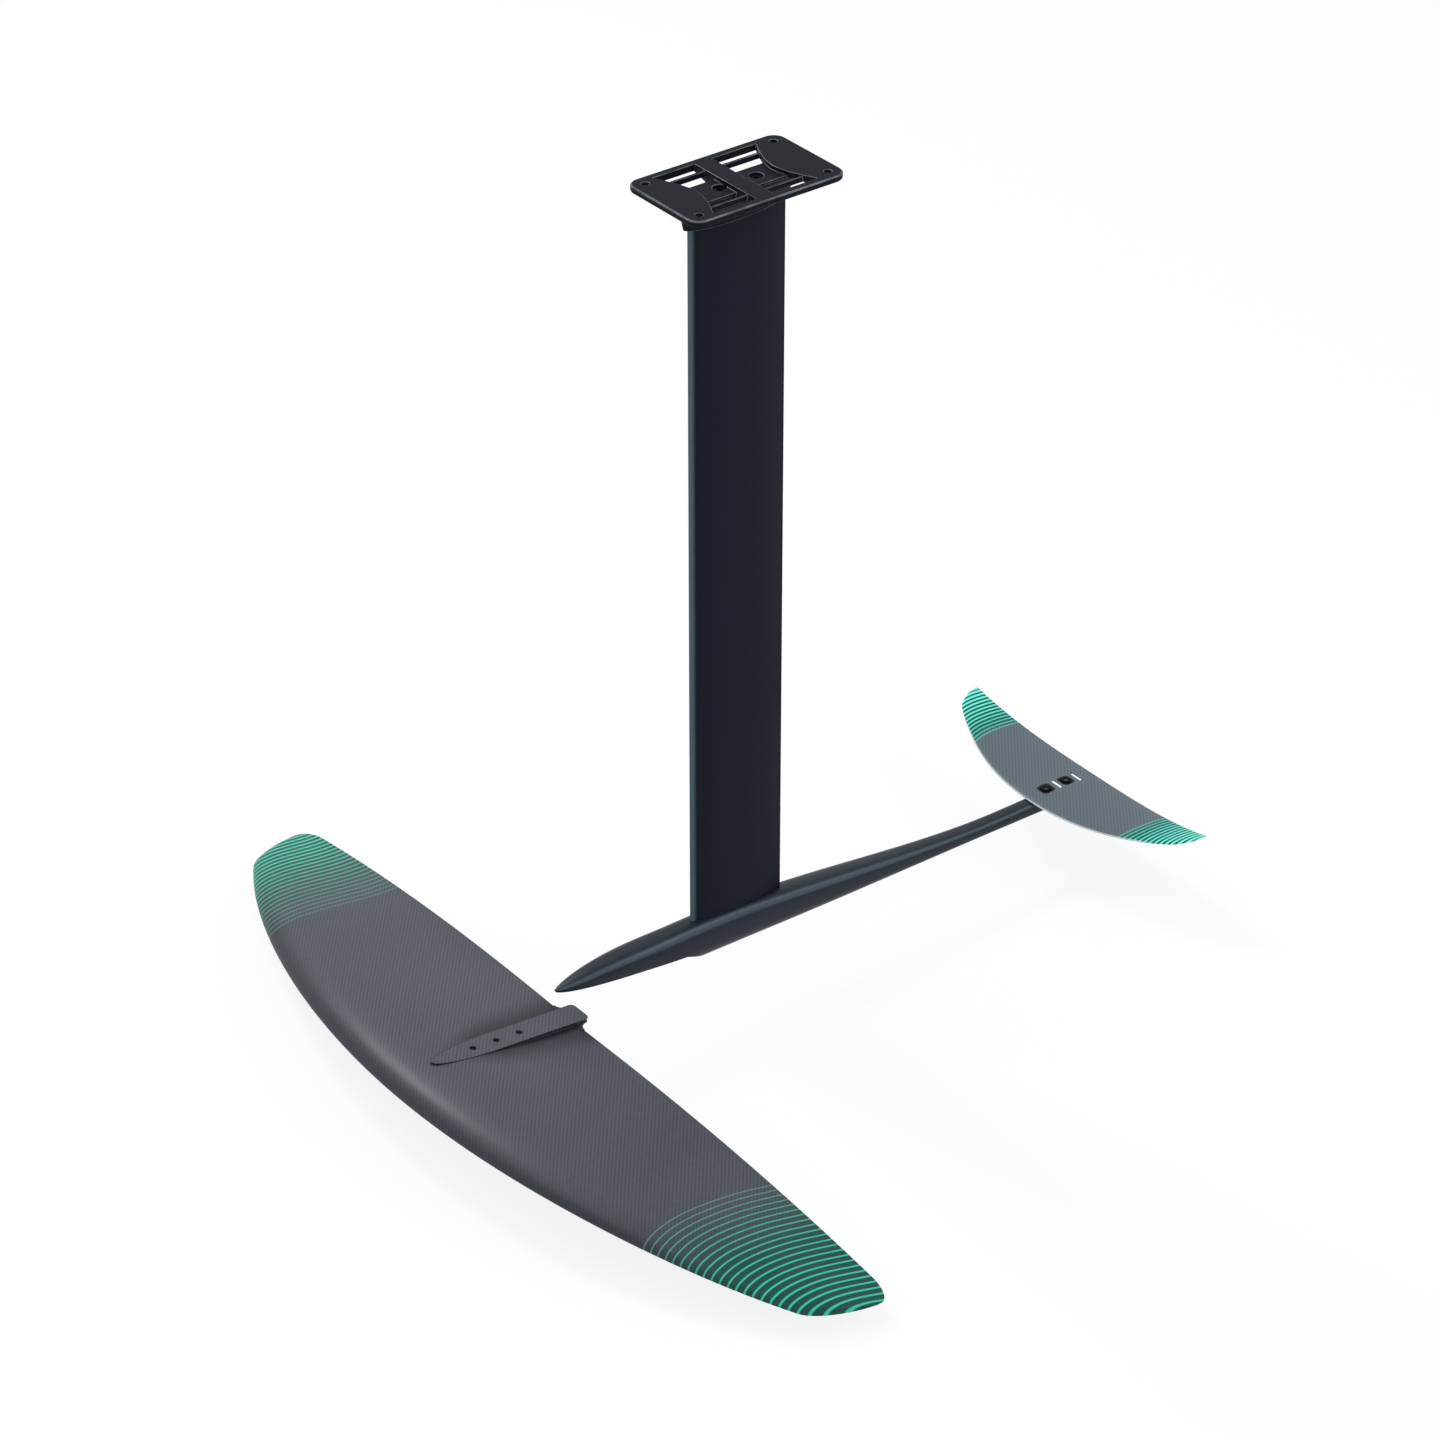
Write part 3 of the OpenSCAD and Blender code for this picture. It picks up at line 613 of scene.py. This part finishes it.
def stab_te(y):
    """The stabiliser's trailing edge."""
    return STAB_TE - STAB_TE_SWEEP * stab_eta(y) ** 3


def stab_chord(y, chord):
    """The stabiliser's chord, for a given chord on the middle line."""
    plain = stab_te(y) - (STAB_TE - chord) - STAB_SWEEP * stab_eta(y) ** 2
    return plain * rounded_tip(stab_eta(y), 0.9)


def stab_mid(y):
    """Height of the stabiliser's chord line."""
    return STAB_MID + STAB_RISE * stab_eta(y) ** 3


def stab_upper(u, rise):
    return rise * hump(u, 0.5, 0.9) + STAB_EDGE * u


def stab_lower(u, fall):
    return -fall * hump(u, 0.5, 0.7) - STAB_EDGE * u


# ---- materials ----
def shade(tone, k):
    """A colour k times as bright."""
    return tuple(c * k for c in tone)


def cast_finish(plate):
    """Satin paint with a fine sand-cast grain."""
    f = Finish("cast_satin_paint")
    grain = f.noise(900, 3)
    cloud = f.noise(14, 2)
    paint = f.mix((cloud * 0.6).clip(), tuple(plate.paint), shade(plate.paint, 1.6))
    f.put(Base_Color=paint, Roughness=0.42 + grain * 0.14, Specular_IOR_Level=0.04)
    f.bump(grain, 0.25, 0.0002)
    return f.mat


def worn_edge_and_highlight_finish(plate):
    """The rounded edges, where the paint is rubbed thin over bright metal; the lighter colour is also a
    painted highlight along every edge.
    """
    f = Finish("cast_rubbed_edge_and_highlight")
    grain = f.noise(900, 3)
    cloud = f.noise(40, 3)
    # rubbed paint, and a painted highlight lighter than the paint on every rounded edge
    wear_and_highlight = f.mix(f.step(cloud, 0.35, 0.65), shade(plate.wear_and_highlight, 0.2), tuple(plate.wear_and_highlight))
    f.put(Base_Color=wear_and_highlight, Roughness=0.30 + grain * 0.14, Specular_IOR_Level=0.4)
    f.bump(grain, 0.15, 0.0002)
    return f.mat


def anodised(f, tone, spread, stretch):
    """Colour of a drawn and anodised surface, with slow clouds, and the height of its fine lines."""
    lines = f.noise(55, 3, stretch)
    cloud = f.noise(4, 2)
    return f.mix((lines * 0.4 + cloud * 0.4).clip(), tuple(tone), shade(tone, spread)), lines


def mast_finish(mast):
    """Lines drawn along the mast, and a painted highlight along its leading edge."""
    f = Finish("mast_anodising")
    tone, lines = anodised(f, mast.anodise, 1.3, (16.0, 16.0, 0.6))
    # painted highlight along the leading edge
    front = 1 - f.step(f.x - MAST_LE, 1.2, 6.5)
    f.put(Base_Color=f.mix(front * 0.85, tone, tuple(mast.nose)), Roughness=0.36 + lines * 0.12,
          Specular_IOR_Level=0.045)
    f.bump(lines, 0.05, 0.0001)
    return f.mat


def fuselage_finish(fus):
    """Lines drawn along the fuselage, and a painted highlight on the shoulders between its crown and
    its sides.
    """
    f = Finish("fuselage_anodising")
    tone, lines = anodised(f, fus.paint, 1.5, (0.6, 16.0, 16.0))
    up = f.upward()
    # painted highlight on the shoulders, placed by which way the surface faces
    shoulder_highlight = f.step(up, 0.25, 0.50) * (1 - f.step(up, 0.74, 0.96))
    f.put(Base_Color=f.mix(shoulder_highlight * 0.85, tone, tuple(fus.shoulder_highlight)), Roughness=0.28 + lines * 0.12,
          Specular_IOR_Level=0.16)
    f.bump(lines, 0.05, 0.0001)
    return f.mat


def twill(f, tow, turn=math.radians(6)):
    """Height of a two-by-two twill, turned a little from X, and the mask of the tows on top."""
    a = (f.x * math.cos(turn) + f.y * math.sin(turn)) / tow
    b = (f.y * math.cos(turn) - f.x * math.sin(turn)) / tow
    over = ((a.floor() - b.floor()) / 4.0).fract() < 0.49
    warp = 1 - ((a.fract() - 0.5) * 2.0).abs() ** 2.0
    weft = 1 - ((b.fract() - 0.5) * 2.0).abs() ** 2.0
    return over * warp + (1 - over) * weft, over


def stripes(f, reach, first, pitch, count, thin, thick):
    """How far out a point lies in a striped tip, as a share, and the mask of the stripes."""
    out = ((reach - first) / (pitch * count)).clip()
    place = ((reach - first) / pitch).fract()
    width = thin + (thick - thin) * out
    line = 1 - f.step((place - 0.5).abs() - width / 2.0, -0.06, 0.06)
    return out, line * (reach > first)


def striped_carbon(f, wing, weave, y):
    """The weave with the tip stripes over it, which are broader on the side of positive Y."""
    far = f.step(f.y, -1.0, 1.0)
    # the stripes bow outwards ahead of and behind their middle
    middle, bow_ahead, bow_behind = -280.0, 0.0008, 0.0012
    off = f.x - middle
    bow = off * off * (bow_ahead + bow_behind * (off > 0.0)) * (1 - far * 0.6)
    first, pitch, count = 340.6, 8.75, 23.0
    out, line = stripes(f, y - bow, first, pitch, count, 0.16, 0.28)
    _, broad = stripes(f, y - bow, first, pitch, count, 0.22, 0.46)
    line = line + (broad - line) * far
    ground = f.mix((out * (2.2 - far * 1.0)).clip() * 0.95, weave, tuple(wing.stripe_base))
    stripe = f.mix((out * 1.5).clip(), tuple(wing.stripe_in), tuple(wing.stripe))
    return f.mix(line * (0.7 - far * 0.25 + out * 0.8).clip(), ground, stripe)


def carbon_finish(wing):
    """Clear-coated twill with striped tips, a dark bond line and a painted shadow round the pad, and
    painted shade along the leading edge.
    """
    f = Finish("carbon_twill")
    height, over = twill(f, wing.tow)
    streak = f.noise(30, 3, (6.0, 6.0, 1.0))
    cloud = f.noise(3.2, 2)
    tows = (over * 0.55 + height * 0.15 + streak * 0.45 - 0.12).clip()
    weave = f.mix(tows, tuple(wing.carbon_dark), tuple(wing.carbon))
    weave = f.mix((cloud * 0.5).clip(), weave, shade(wing.carbon_dark, 1.1))
    # painted shade: the cloth is darkened along the leading edge, where the surface turns down
    y = f.y.abs()
    e = y / HALF_SPAN
    behind = f.x - (WING_X + e * e * WING_SWEEP)
    weave = f.mix((1 - f.step(behind, 2.0, 34.0)) * 0.62, weave, shade(wing.carbon_dark, 0.45))
    painted = striped_carbon(f, wing, weave, y)
    # the bonded edge round the pad, and a painted shadow in the hollow beside it
    along = f.x - PAD_FRONT
    t = 1 - (along / PAD_NOSE).clip()
    off = y - ((1 - t * t) ** 0.5) * PAD_HALF
    inside = (along > -1.0) * (1 - f.step(f.x, PAD_END - 20.0, PAD_END - 14.0))
    bond = (1 - f.step(off.abs(), 0.5, 1.3)) * inside
    # painted shadow beside the pad, broader aft where the pad stands higher
    breadth = (along * 0.45).hi(2.0).lo(46.0)
    hollow = (1 - f.step(off, 0.0, breadth)) * (off > 0.0) * f.step(along, 15.0, 80.0)
    painted = f.mix((bond * 0.65).hi(hollow * 0.85), painted, shade(wing.carbon_dark, 0.3))
    f.put(Base_Color=painted, Roughness=0.38 + streak * 0.12, Specular_IOR_Level=0.10,
          Coat_Weight=0.14, Coat_Roughness=0.3)
    f.bump(height, 0.14, 0.0002)
    return f.mat


def stabilizer_finish(stab, wing, lacquer):
    """Moulded shell with striped tips, a painted highlight along the leading edge and at the tip, and
    its marks round the screws.
    """
    f = Finish("stabilizer_moulding")
    height, over = twill(f, wing.tow)
    cloud = f.noise(5, 2)
    tows = (over * 0.5 + height * 0.2 + cloud * 0.3).clip()
    base = f.mix(tows, shade(stab.shell, 0.62), tuple(stab.shell))
    y = f.y.abs()
    ahead = (STAB_TE - 42.0 - f.x).hi(0.0)
    first, pitch, count = 128.0, 5.6, 13.5
    out, line = stripes(f, y + ahead * ahead * 0.003, first, pitch, count, 0.30, 0.56)
    ground = f.mix((out * 6.0).clip() * 0.95, base, tuple(stab.stripe_base))
    stripe = f.mix(out, tuple(stab.stripe_in), tuple(stab.stripe))
    painted = f.mix(line * (0.6 + out).clip(), ground, stripe)
    # a painted highlight in pale colours along the leading edge and at the very tip
    e = y / STAB_HALF
    front = f.x - (STAB_TE - stab.chord + e * e * STAB_SWEEP)
    rim = (1 - f.step(front, 0.5, 1.7)) * (1 - f.step(y, 150.0, 170.0))
    painted = f.mix(rim * 0.7, painted, shade(stab.tick, 0.75))
    tip = f.step(y, STAB_HALF - 5.0, STAB_HALF - 2.0)
    painted = f.mix(tip * 0.8, painted, tuple(stab.tip))
    # a black rounded square round each washer, and a trim mark beside it
    square, mark_off, mark_half = 9.0, 15.9, 8.0
    up = f.step(f.upward(), 0.2, 0.5)
    for x in STAB_SCREWS:
        off = ((f.x - x).abs() ** 4.0 + f.y.abs() ** 4.0) ** 0.25
        inside = 1 - f.step(off, square - 0.3, square + 0.3)
        painted = f.mix(inside * up, painted, lacquer)
        across = 1 - f.step((f.x - (x + mark_off)).abs(), 0.9, 1.5)
        mark = across * (1 - f.step((f.y + 0.7).abs(), mark_half - 0.4, mark_half + 0.3))
        painted = f.mix((mark * up * 1.4).clip(), painted, tuple(stab.tick))
    f.put(Base_Color=painted, Roughness=0.42 + cloud * 0.1, Specular_IOR_Level=0.10,
          Coat_Weight=0.06, Coat_Roughness=0.3)
    f.bump(height, 0.12, 0.0002)
    return f.mat


def socket_finish(name, places, lacquer, bare, r):
    """Lacquered screws whose sockets, within r of each place along X, show bare metal."""
    f = Finish(name)
    ring = f.noise(420, 2)
    inner = None
    for x in places:
        off = f.x - x
        near = 1 - f.step(off * off + f.y * f.y, (r - 0.3) ** 2, (r + 0.3) ** 2)
        inner = near if inner is None else inner.hi(near)
    f.put(Base_Color=f.mix(inner, lacquer, bare), Roughness=0.42 + ring * 0.12,
          Metallic=inner * 0.7, Specular_IOR_Level=0.05)
    f.bump(ring, 0.08, 0.0001)
    return f.mat


def metal_finish(name, tone, rough, metallic=1.0, specular=0.5):
    """Turned or lacquered metal, with a fine uneven sheen."""
    f = Finish(name)
    ring = f.noise(420, 2)
    f.put(Base_Color=f.mix(ring * 0.6, shade(tone, 0.7), tone), Roughness=rough + ring * 0.12,
          Metallic=metallic, Specular_IOR_Level=specular)
    f.bump(ring, 0.08, 0.0001)
    return f.mat


def plastic_finish(name, tone, rough):
    """Plastic or foam with a fine fleck."""
    f = Finish(name)
    fleck = f.noise(600, 3)
    f.put(Base_Color=f.mix(fleck, shade(tone, 0.8), tone), Roughness=rough + fleck * 0.1)
    f.bump(fleck, 0.15, 0.0002)
    return f.mat


# ---- operators ----
class FoilOperator:
    """What every operator of the set shares: it can be undone and redone."""
    bl_options = {"REGISTER", "UNDO"}


class FOIL_OT_plate(FoilOperator, bpy.types.Operator):
    """Round the cast plate's edges and paint it"""
    bl_idname = "foil.plate"
    bl_label = "Cast Plate"

    def execute(self, context):
        plate = context.scene.foil_plate
        bm = bmesh.new()
        bm.from_mesh(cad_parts["top_plate"].data)
        bmesh.ops.remove_doubles(bm, verts=bm.verts, dist=0.1 * MM)
        bmesh.ops.dissolve_limit(bm, angle_limit=math.radians(2.0), verts=bm.verts, edges=bm.edges)
        rim = self.lower_rim(bm)
        bmesh.ops.bevel(bm, geom=rim, offset=plate.rim * MM, offset_type="OFFSET", segments=4,
                        profile=0.5, affect="EDGES", material=-1)
        ob = piece("cast_plate", bm)
        for material in (cast_finish(plate), worn_edge_and_highlight_finish(plate)):
            ob.data.materials.append(material)
        bevel(ob, plate.edge, 2, 40.0, material=1, clamped=False)
        finish_piece(ob, "foil")
        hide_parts("top_plate")
        return {"FINISHED"}

    def lower_rim(self, bm):
        """The edges round the rim's lower face, whose height is read at the plate's front end."""
        near = 0.05
        corner = high_mm("top_plate")
        front = min(v.co.x for v in bm.verts)
        low = min(v.co.z for v in bm.verts if v.co.x < front + MM) / MM
        return [e for e in bm.edges
                if all(abs(v.co.z / MM - low) < near for v in e.verts)
                and all(self.on_outline(v.co / MM, corner.x, corner.y, near) for v in e.verts)]

    def on_outline(self, co, half_l, half_w, near, r=15.0):
        """Whether a point lies on the plate's outline, a rectangle with corners of radius r."""
        x = abs(co.x)
        y = abs(co.y)
        if x > half_l - r and y > half_w - r:
            return abs(math.hypot(x - half_l + r, y - half_w + r) - r) < 2 * near
        return x > half_l - near or y > half_w - near


class FOIL_OT_mast(FoilOperator, bpy.types.Operator):
    """Loft the mast's foil section from head to foot"""
    bl_idname = "foil.mast"
    bl_label = "Mast"

    def execute(self, context):
        mast = context.scene.foil_mast
        n = mast.rows

        def place(z, a):
            i, u = chord_step(a, n)
            half = mast_half(u, MAST_T) * (1 if i <= n else -1)
            return Vector((MAST_LE + MAST_CHORD * u, half, z))

        ob = piece("mast_blade", loft([MAST_FOOT, MAST_TOP], 2 * n, place))
        finish_piece(ob, "foil", mast_finish(mast), 50.0)
        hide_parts("mast_extrusion")
        return {"FINISHED"}


class FOIL_OT_fuselage(FoilOperator, bpy.types.Operator):
    """Loft the fuselage and cut its seats, sockets and screw holes"""
    bl_idname = "foil.fuselage"
    bl_label = "Fuselage"

    def execute(self, context):
        fus = context.scene.foil_fuselage

        def place(x, a):
            top = crown(x)
            low = keel(x)
            h = (top - low) / 2 * tail_round(x)
            t = 2 * math.pi * a
            squareness = 0.66 if a < 0.5 else 0.8
            return Vector((x, fuselage_half(x, fus.half) * spow(math.cos(t), 0.72),
                           (top + low) / 2 + h * spow(math.sin(t), squareness)))

        ob = piece("fuselage_body", loft(self.stations(), fus.sides, place))
        carve(ob, self.seats() + self.holes())
        finish_piece(ob, "foil", fuselage_finish(fus), 30.0)
        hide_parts("fuselage")
        return {"FINISHED"}

    def stations(self):
        """Places along X, close together at the nose, just ahead of the step and at the tail."""
        start = TAIL_X - TAIL_CAP
        reach = STEP_X - 1.5 - NOSE_X
        nose = [NOSE_X + reach * (1 - math.cos(math.pi / 2 * i / 26)) for i in range(27)]
        body = [mix(STEP_X, start, i / 60) for i in range(61)]
        tail = [start + TAIL_CAP * math.sin(math.pi / 2 * i / 10) for i in range(1, 11)]
        return nose + [STEP_X - 0.5] + body + tail

    def seats(self):
        """What is cut away under the nose, along the ramp behind it, and over the tail."""
        under = block((-400, -60, -120), (0, 60, 0))
        ramp = block((-1, -60, -60), (60, 60, 0))
        for bm, turn in ((under, TILT), (ramp, math.radians(24))):
            bmesh.ops.rotate(bm, verts=bm.verts, cent=(0, 0, 0), matrix=Matrix.Rotation(turn, 3, "Y"))
            bmesh.ops.translate(bm, verts=bm.verts, vec=Vector((STEP_X, 0, seat(STEP_X))) * MM)
        tail = block((STAB_TE - 101, -30, SHIM_BED), (TAIL_X + 60, 30, SHIM_BED + 30))
        return [under, ramp, tail]

    def holes(self):
        """Bores for the nose and tail inserts, and the foot screws' counterbores and holes."""
        insert_r, head_r, shank_r = 4.5, 7.4, 4.2
        bores = [rod(insert_r, -1, 7.1, x, tilt=TILT, lift=seat(x)) for x in NOSE_SCREWS]
        bores += [rod(insert_r, SHIM_BED - 12, SHIM_BED + 1, x) for x in STAB_SCREWS]
        for x in FOOT_PORTS:
            bores.append(rod(head_r, MAST_FOOT - 70, MAST_FOOT - 18, x))
            bores.append(rod(shank_r, MAST_FOOT - 19, MAST_FOOT + 1, x))
        return bores


class FOIL_OT_front_wing(FoilOperator, bpy.types.Operator):
    """Loft the front wing, its raised pad and the pad's screw holes"""
    bl_idname = "foil.front_wing"
    bl_label = "Front Wing"

    def execute(self, context):
        wing = context.scene.foil_wing
        n = wing.rows
        rows = wing.stations

        def place(y, a):
            i, u = chord_step(a, n)
            c = wing_chord(y, wing.chord)
            z = wing_upper(u, wing.rise) if i < n else wing_lower(u, wing.fall)
            if i in (0, n):
                z = 0.0
            return Vector((wing_te(y, wing.chord) - c + c * u, y, wing_mid(y) + z * c / wing.chord))

        skin = carbon_finish(wing)
        ys = [span(j, rows, HALF_SPAN) for j in range(rows + 1)]
        ob = piece("front_wing_shell", loft(ys, 2 * n, place))
        pad = self.pad(wing)
        carve(ob, self.bores(6.6, -60, 10))
        finish_piece(ob, "front_wing", skin, 32.0)
        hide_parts("front_wing_upper_skin", "front_wing_lower_skin")
        finish_piece(pad, "front_wing", skin)
        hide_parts("front_wing_pad")
        return {"FINISHED"}

    def bores(self, r, low, high):
        """A hole for each screw, square to the pad, between two heights over its top face."""
        return [rod(r, low, high, x, tilt=TILT, lift=pad_z(x)) for x in WING_SCREWS]

    def pad(self, wing):
        """The raised pad, with its webs, its screw holes and its rounded edges."""
        ob = piece("front_wing_pad_top", self.pad_body(wing, corner=6.0, across=16))
        carve(ob, self.webs(WING_X + wing.chord, 12.0), "UNION")
        carve(ob, self.bores(4.1, -2.6, 1) + self.bores(6.6, -60, -2.2))
        bevel(ob, 0.4, 2, 50.0)
        return ob

    def pad_body(self, wing, corner, across):
        """The pad's top face, and under it the wing's upper surface, which it sinks into a little."""
        nose = PAD_NOSE
        front = PAD_FRONT
        end = PAD_END
        xs = [front + nose * (1 - math.cos(math.pi / 2 * i / 24)) for i in range(25)]
        xs += [mix(front + nose, end - corner, i / 36) for i in range(1, 37)]
        xs += [end - corner + corner * math.sin(math.pi / 2 * i / 8) for i in range(1, 9)]

        def half(x):
            if x > end - corner:
                left = math.sqrt(max(0.0, 1 - ((x - end + corner) / corner) ** 2))
                return PAD_HALF - corner * (1 - left)
            return PAD_HALF * math.sqrt(max(0.002, 1 - (1 - clamp((x - front) / nose)) ** 2))

        def place(x, a):
            i = round(a * 2 * across)
            k = min(i, 2 * across - i)
            y = half(x) * (1 - 2 * k / across)
            if i <= across:
                return Vector((x, y, pad_z(x)))
            c = wing_chord(y, wing.chord)
            u = (x - (wing_te(y, wing.chord) - c)) / c
            if u < 0.97:
                return Vector((x, y, wing_mid(y) + wing_upper(u, wing.rise) - 0.3))
            return Vector((x, y, WING_Z - 1.2))

        return loft(xs, 2 * across, place)

    def webs(self, root_te, web):
        """The two hollow-cornered webs between the pad's end and the trailing edge."""
        corners = []
        for side in (-1, 1):
            y0, y1 = sorted((side * (PAD_HALF - 1), side * (PAD_HALF + web)))
            corner = piece("cutter", block((root_te - 3, y0, WING_Z - 1.2),
                                           (root_te + 1 + web, y1, WING_Z + 1.2)))
            hollow = rod(web, WING_Z - 5, WING_Z + 5, root_te + 1 + web, side * (PAD_HALF + web),
                         sides=96)
            carve(corner, [hollow])
            corners.append(corner)
        return corners


class FOIL_OT_stabilizer(FoilOperator, bpy.types.Operator):
    """Loft the stabiliser and cut its washer pockets and seat"""
    bl_idname = "foil.stabilizer"
    bl_label = "Stabiliser"

    def execute(self, context):
        stab = context.scene.foil_stabilizer
        n = stab.rows
        rows = stab.stations

        def place(y, a):
            i, u = chord_step(a, n)
            c = stab_chord(y, stab.chord)
            z = stab_upper(u, stab.rise) if i < n else stab_lower(u, stab.fall)
            if i in (0, n):
                z = 0.0
            return Vector((stab_te(y) - c + c * u, y, stab_mid(y) + z * c / stab.chord))

        ys = [span(j, rows, STAB_HALF) for j in range(rows + 1)]
        ob = piece("stabilizer_shell", loft(ys, 2 * n, place))
        carve(ob, self.cuts(STAB_MID + 3.6))
        lacquer = tuple(context.scene.foil_hardware.lacquer)
        skin = stabilizer_finish(stab, context.scene.foil_wing, lacquer)
        finish_piece(ob, "foil", skin, 32.0)
        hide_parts("stabilizer")
        return {"FINISHED"}

    def cuts(self, face):
        """The seat on the shim, and at each screw a washer pocket down to the face and a hole."""
        washer_r, shank_r = 7.7, 3.2
        tools = [block((300, -20, SHIM_TOP - 20), (700, 20, SHIM_TOP))]
        for x in STAB_SCREWS:
            tools.append(rod(washer_r, face, face + 20, x))
            tools.append(rod(shank_r, face - 20, face + 5, x))
        return tools


class FOIL_OT_hardware(FoilOperator, bpy.types.Operator):
    """Give the screws, washers, inserts, bushes, shim and core their finishes"""
    bl_idname = "foil.hardware"
    bl_label = "Hardware"

    def execute(self, context):
        hardware = context.scene.foil_hardware
        lacquer = tuple(hardware.lacquer)
        black = metal_finish("black_oxide", (0.02, 0.022, 0.026), 0.38, 0.7)
        dark = metal_finish("black_lacquer", lacquer, 0.5, 0.0, specular=0.05)
        socketed = socket_finish("socket_steel", STAB_SCREWS, lacquer, tuple(hardware.socket), 2.4)
        plain = metal_finish("plain_steel", (0.55, 0.56, 0.58), 0.30)
        brass = metal_finish("turned_brass", (0.72, 0.52, 0.22), 0.28)
        alloy = metal_finish("turned_alloy", (0.62, 0.62, 0.64), 0.32)
        foam = plastic_finish("core_foam", (0.72, 0.68, 0.52), 0.8)
        shim = plastic_finish("shim_plastic", (0.02, 0.02, 0.022), 0.5)
        finishes = {
            "mast_head_screws": dark, "mast_foot_screws": black, "stabilizer_screws": socketed,
            "front_wing_screws": dark, "stabilizer_washers": dark,
            "mast_head_washers": plain, "mast_foot_washers": plain,
            "mast_head_inserts": plain, "mast_foot_inserts": plain,
            "nose_inserts": brass, "tail_inserts": brass,
            "front_wing_bushes": alloy, "front_wing_core": foam, "stabilizer_shim": shim,
        }
        for name, material in finishes.items():
            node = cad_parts[name]
            if not node.material_slots:
                node.data.materials.append(material)
            for slot in node.material_slots:
                slot.material = material
        return {"FINISHED"}


class FOIL_OT_stage(FoilOperator, bpy.types.Operator):
    """Set the floor, the soft lamps, the world and the camera"""
    bl_idname = "foil.stage"
    bl_label = "Stage"

    # name, place and size in metres, and watts
    LAMPS = (
        ("key", (-1.6, 1.2, 3.2), 2.6, 46.0),
        ("fill", (-3.2, -3.0, 1.6), 3.2, 22.0),
        ("shoulder_highlight", (2.1, -2.2, 1.9), 1.3, 36.0),
        ("back", (-0.3, 3.0, 2.4), 0.9, 76.0),
    )
    LAMP_AIM = (0, 0, -0.8)
    SKY = (0.93, 0.96, 1.0)
    SKY_STRENGTH = 0.62
    CAMERA_PLACE = (-2.6521, -3.4245, 2.0900)
    CAMERA_PITCH = 57.66
    CAMERA_YAW = -37.53

    def execute(self, context):
        stage = context.scene.foil_stage
        self.floor(stage)
        self.lamps(stage)
        self.world()
        self.camera(stage)
        context.scene.view_settings.view_transform = "Standard"
        return {"FINISHED"}

    def floor(self, stage):
        """A pale floor that shows as flat white round the object's shadow."""
        bm = bmesh.new()
        bmesh.ops.create_grid(bm, x_segments=2, y_segments=2, size=30.0)
        bmesh.ops.translate(bm, verts=bm.verts, vec=(0, 0, stage.floor_z))
        ob = piece("floor", bm)
        f = Finish("pale_floor")
        f.put(Base_Color=(stage.tone, stage.tone, stage.tone), Roughness=0.9)
        glow = f.node("ShaderNodeEmission", inputs={"Color": (1, 1, 1), "Strength": 1.0})
        seen = f.background_rays() * stage.tone
        f.cover(seen, f.shader.outputs[0], glow.outputs[0], "OUTPUT_MATERIAL")
        ob.data.materials.append(f.mat)

    def lamps(self, stage):
        """Square soft lamps, aimed near the foot of the mast."""
        for name, place, size, watts in self.LAMPS:
            data = bpy.data.lights.new(name, "AREA")
            data.energy = watts * stage.lamp
            data.size = size
            lamp = bpy.data.objects.new(name, data)
            lamp.location = place
            aim = Vector(self.LAMP_AIM) - Vector(place)
            lamp.rotation_euler = aim.to_track_quat("-Z", "Y").to_euler()
            bpy.context.scene.collection.objects.link(lamp)

    def world(self):
        """An even sky, seen as plain white behind the object."""
        world = bpy.data.worlds.new("studio")
        world.use_nodes = True
        sky = Nodes(world.node_tree)
        light = sky.own("BACKGROUND")
        sky.feed(light.inputs["Color"], self.SKY)
        sky.feed(light.inputs["Strength"], self.SKY_STRENGTH)
        white = sky.node("ShaderNodeBackground", inputs={"Color": (1, 1, 1), "Strength": 1.0})
        sky.cover(sky.background_rays(), light.outputs[0], white.outputs[0], "OUTPUT_WORLD")
        bpy.context.scene.world = world

    def camera(self, stage):
        """The photograph's point of view."""
        data = bpy.data.cameras.new("camera")
        data.lens = stage.lens
        data.sensor_width = 36.0
        data.clip_end = 60.0
        cam = bpy.data.objects.new("camera", data)
        cam.location = self.CAMERA_PLACE
        cam.rotation_euler = Euler((math.radians(self.CAMERA_PITCH), 0, math.radians(self.CAMERA_YAW)))
        bpy.context.scene.collection.objects.link(cam)
        bpy.context.scene.camera = cam


class FOIL_PT_panel(bpy.types.Panel):
    """Lists the pieces of the hydrofoil set"""
    bl_label = "Hydrofoil Set"
    bl_idname = "FOIL_PT_panel"
    bl_space_type = "VIEW_3D"
    bl_region_type = "UI"
    bl_category = "Foil"

    def draw(self, context):
        for key, _, operator in PIECES:
            box = self.layout.box()
            box.operator(operator.bl_idname)
            group = getattr(context.scene, key)
            for name in group.__annotations__:
                box.prop(group, name)


# where each piece's values are kept in the scene, their group, and the operator, in building order
PIECES = (
    ("foil_plate", FOIL_PG_plate, FOIL_OT_plate),
    ("foil_mast", FOIL_PG_mast, FOIL_OT_mast),
    ("foil_fuselage", FOIL_PG_fuselage, FOIL_OT_fuselage),
    ("foil_wing", FOIL_PG_wing, FOIL_OT_front_wing),
    ("foil_stabilizer", FOIL_PG_stabilizer, FOIL_OT_stabilizer),
    ("foil_hardware", FOIL_PG_hardware, FOIL_OT_hardware),
    ("foil_stage", FOIL_PG_stage, FOIL_OT_stage),
)


def register():
    for key, group, operator in PIECES:
        bpy.utils.register_class(group)
        bpy.utils.register_class(operator)
        setattr(bpy.types.Scene, key, PointerProperty(type=group))
    bpy.utils.register_class(FOIL_PT_panel)


def unregister():
    bpy.utils.unregister_class(FOIL_PT_panel)
    for key, group, operator in reversed(PIECES):
        delattr(bpy.types.Scene, key)
        bpy.utils.unregister_class(operator)
        bpy.utils.unregister_class(group)


def main():
    register()
    for _, _, operator in PIECES:
        module, name = operator.bl_idname.split(".")
        getattr(getattr(bpy.ops, module), name)()


if __name__ == "__main__":
    main()
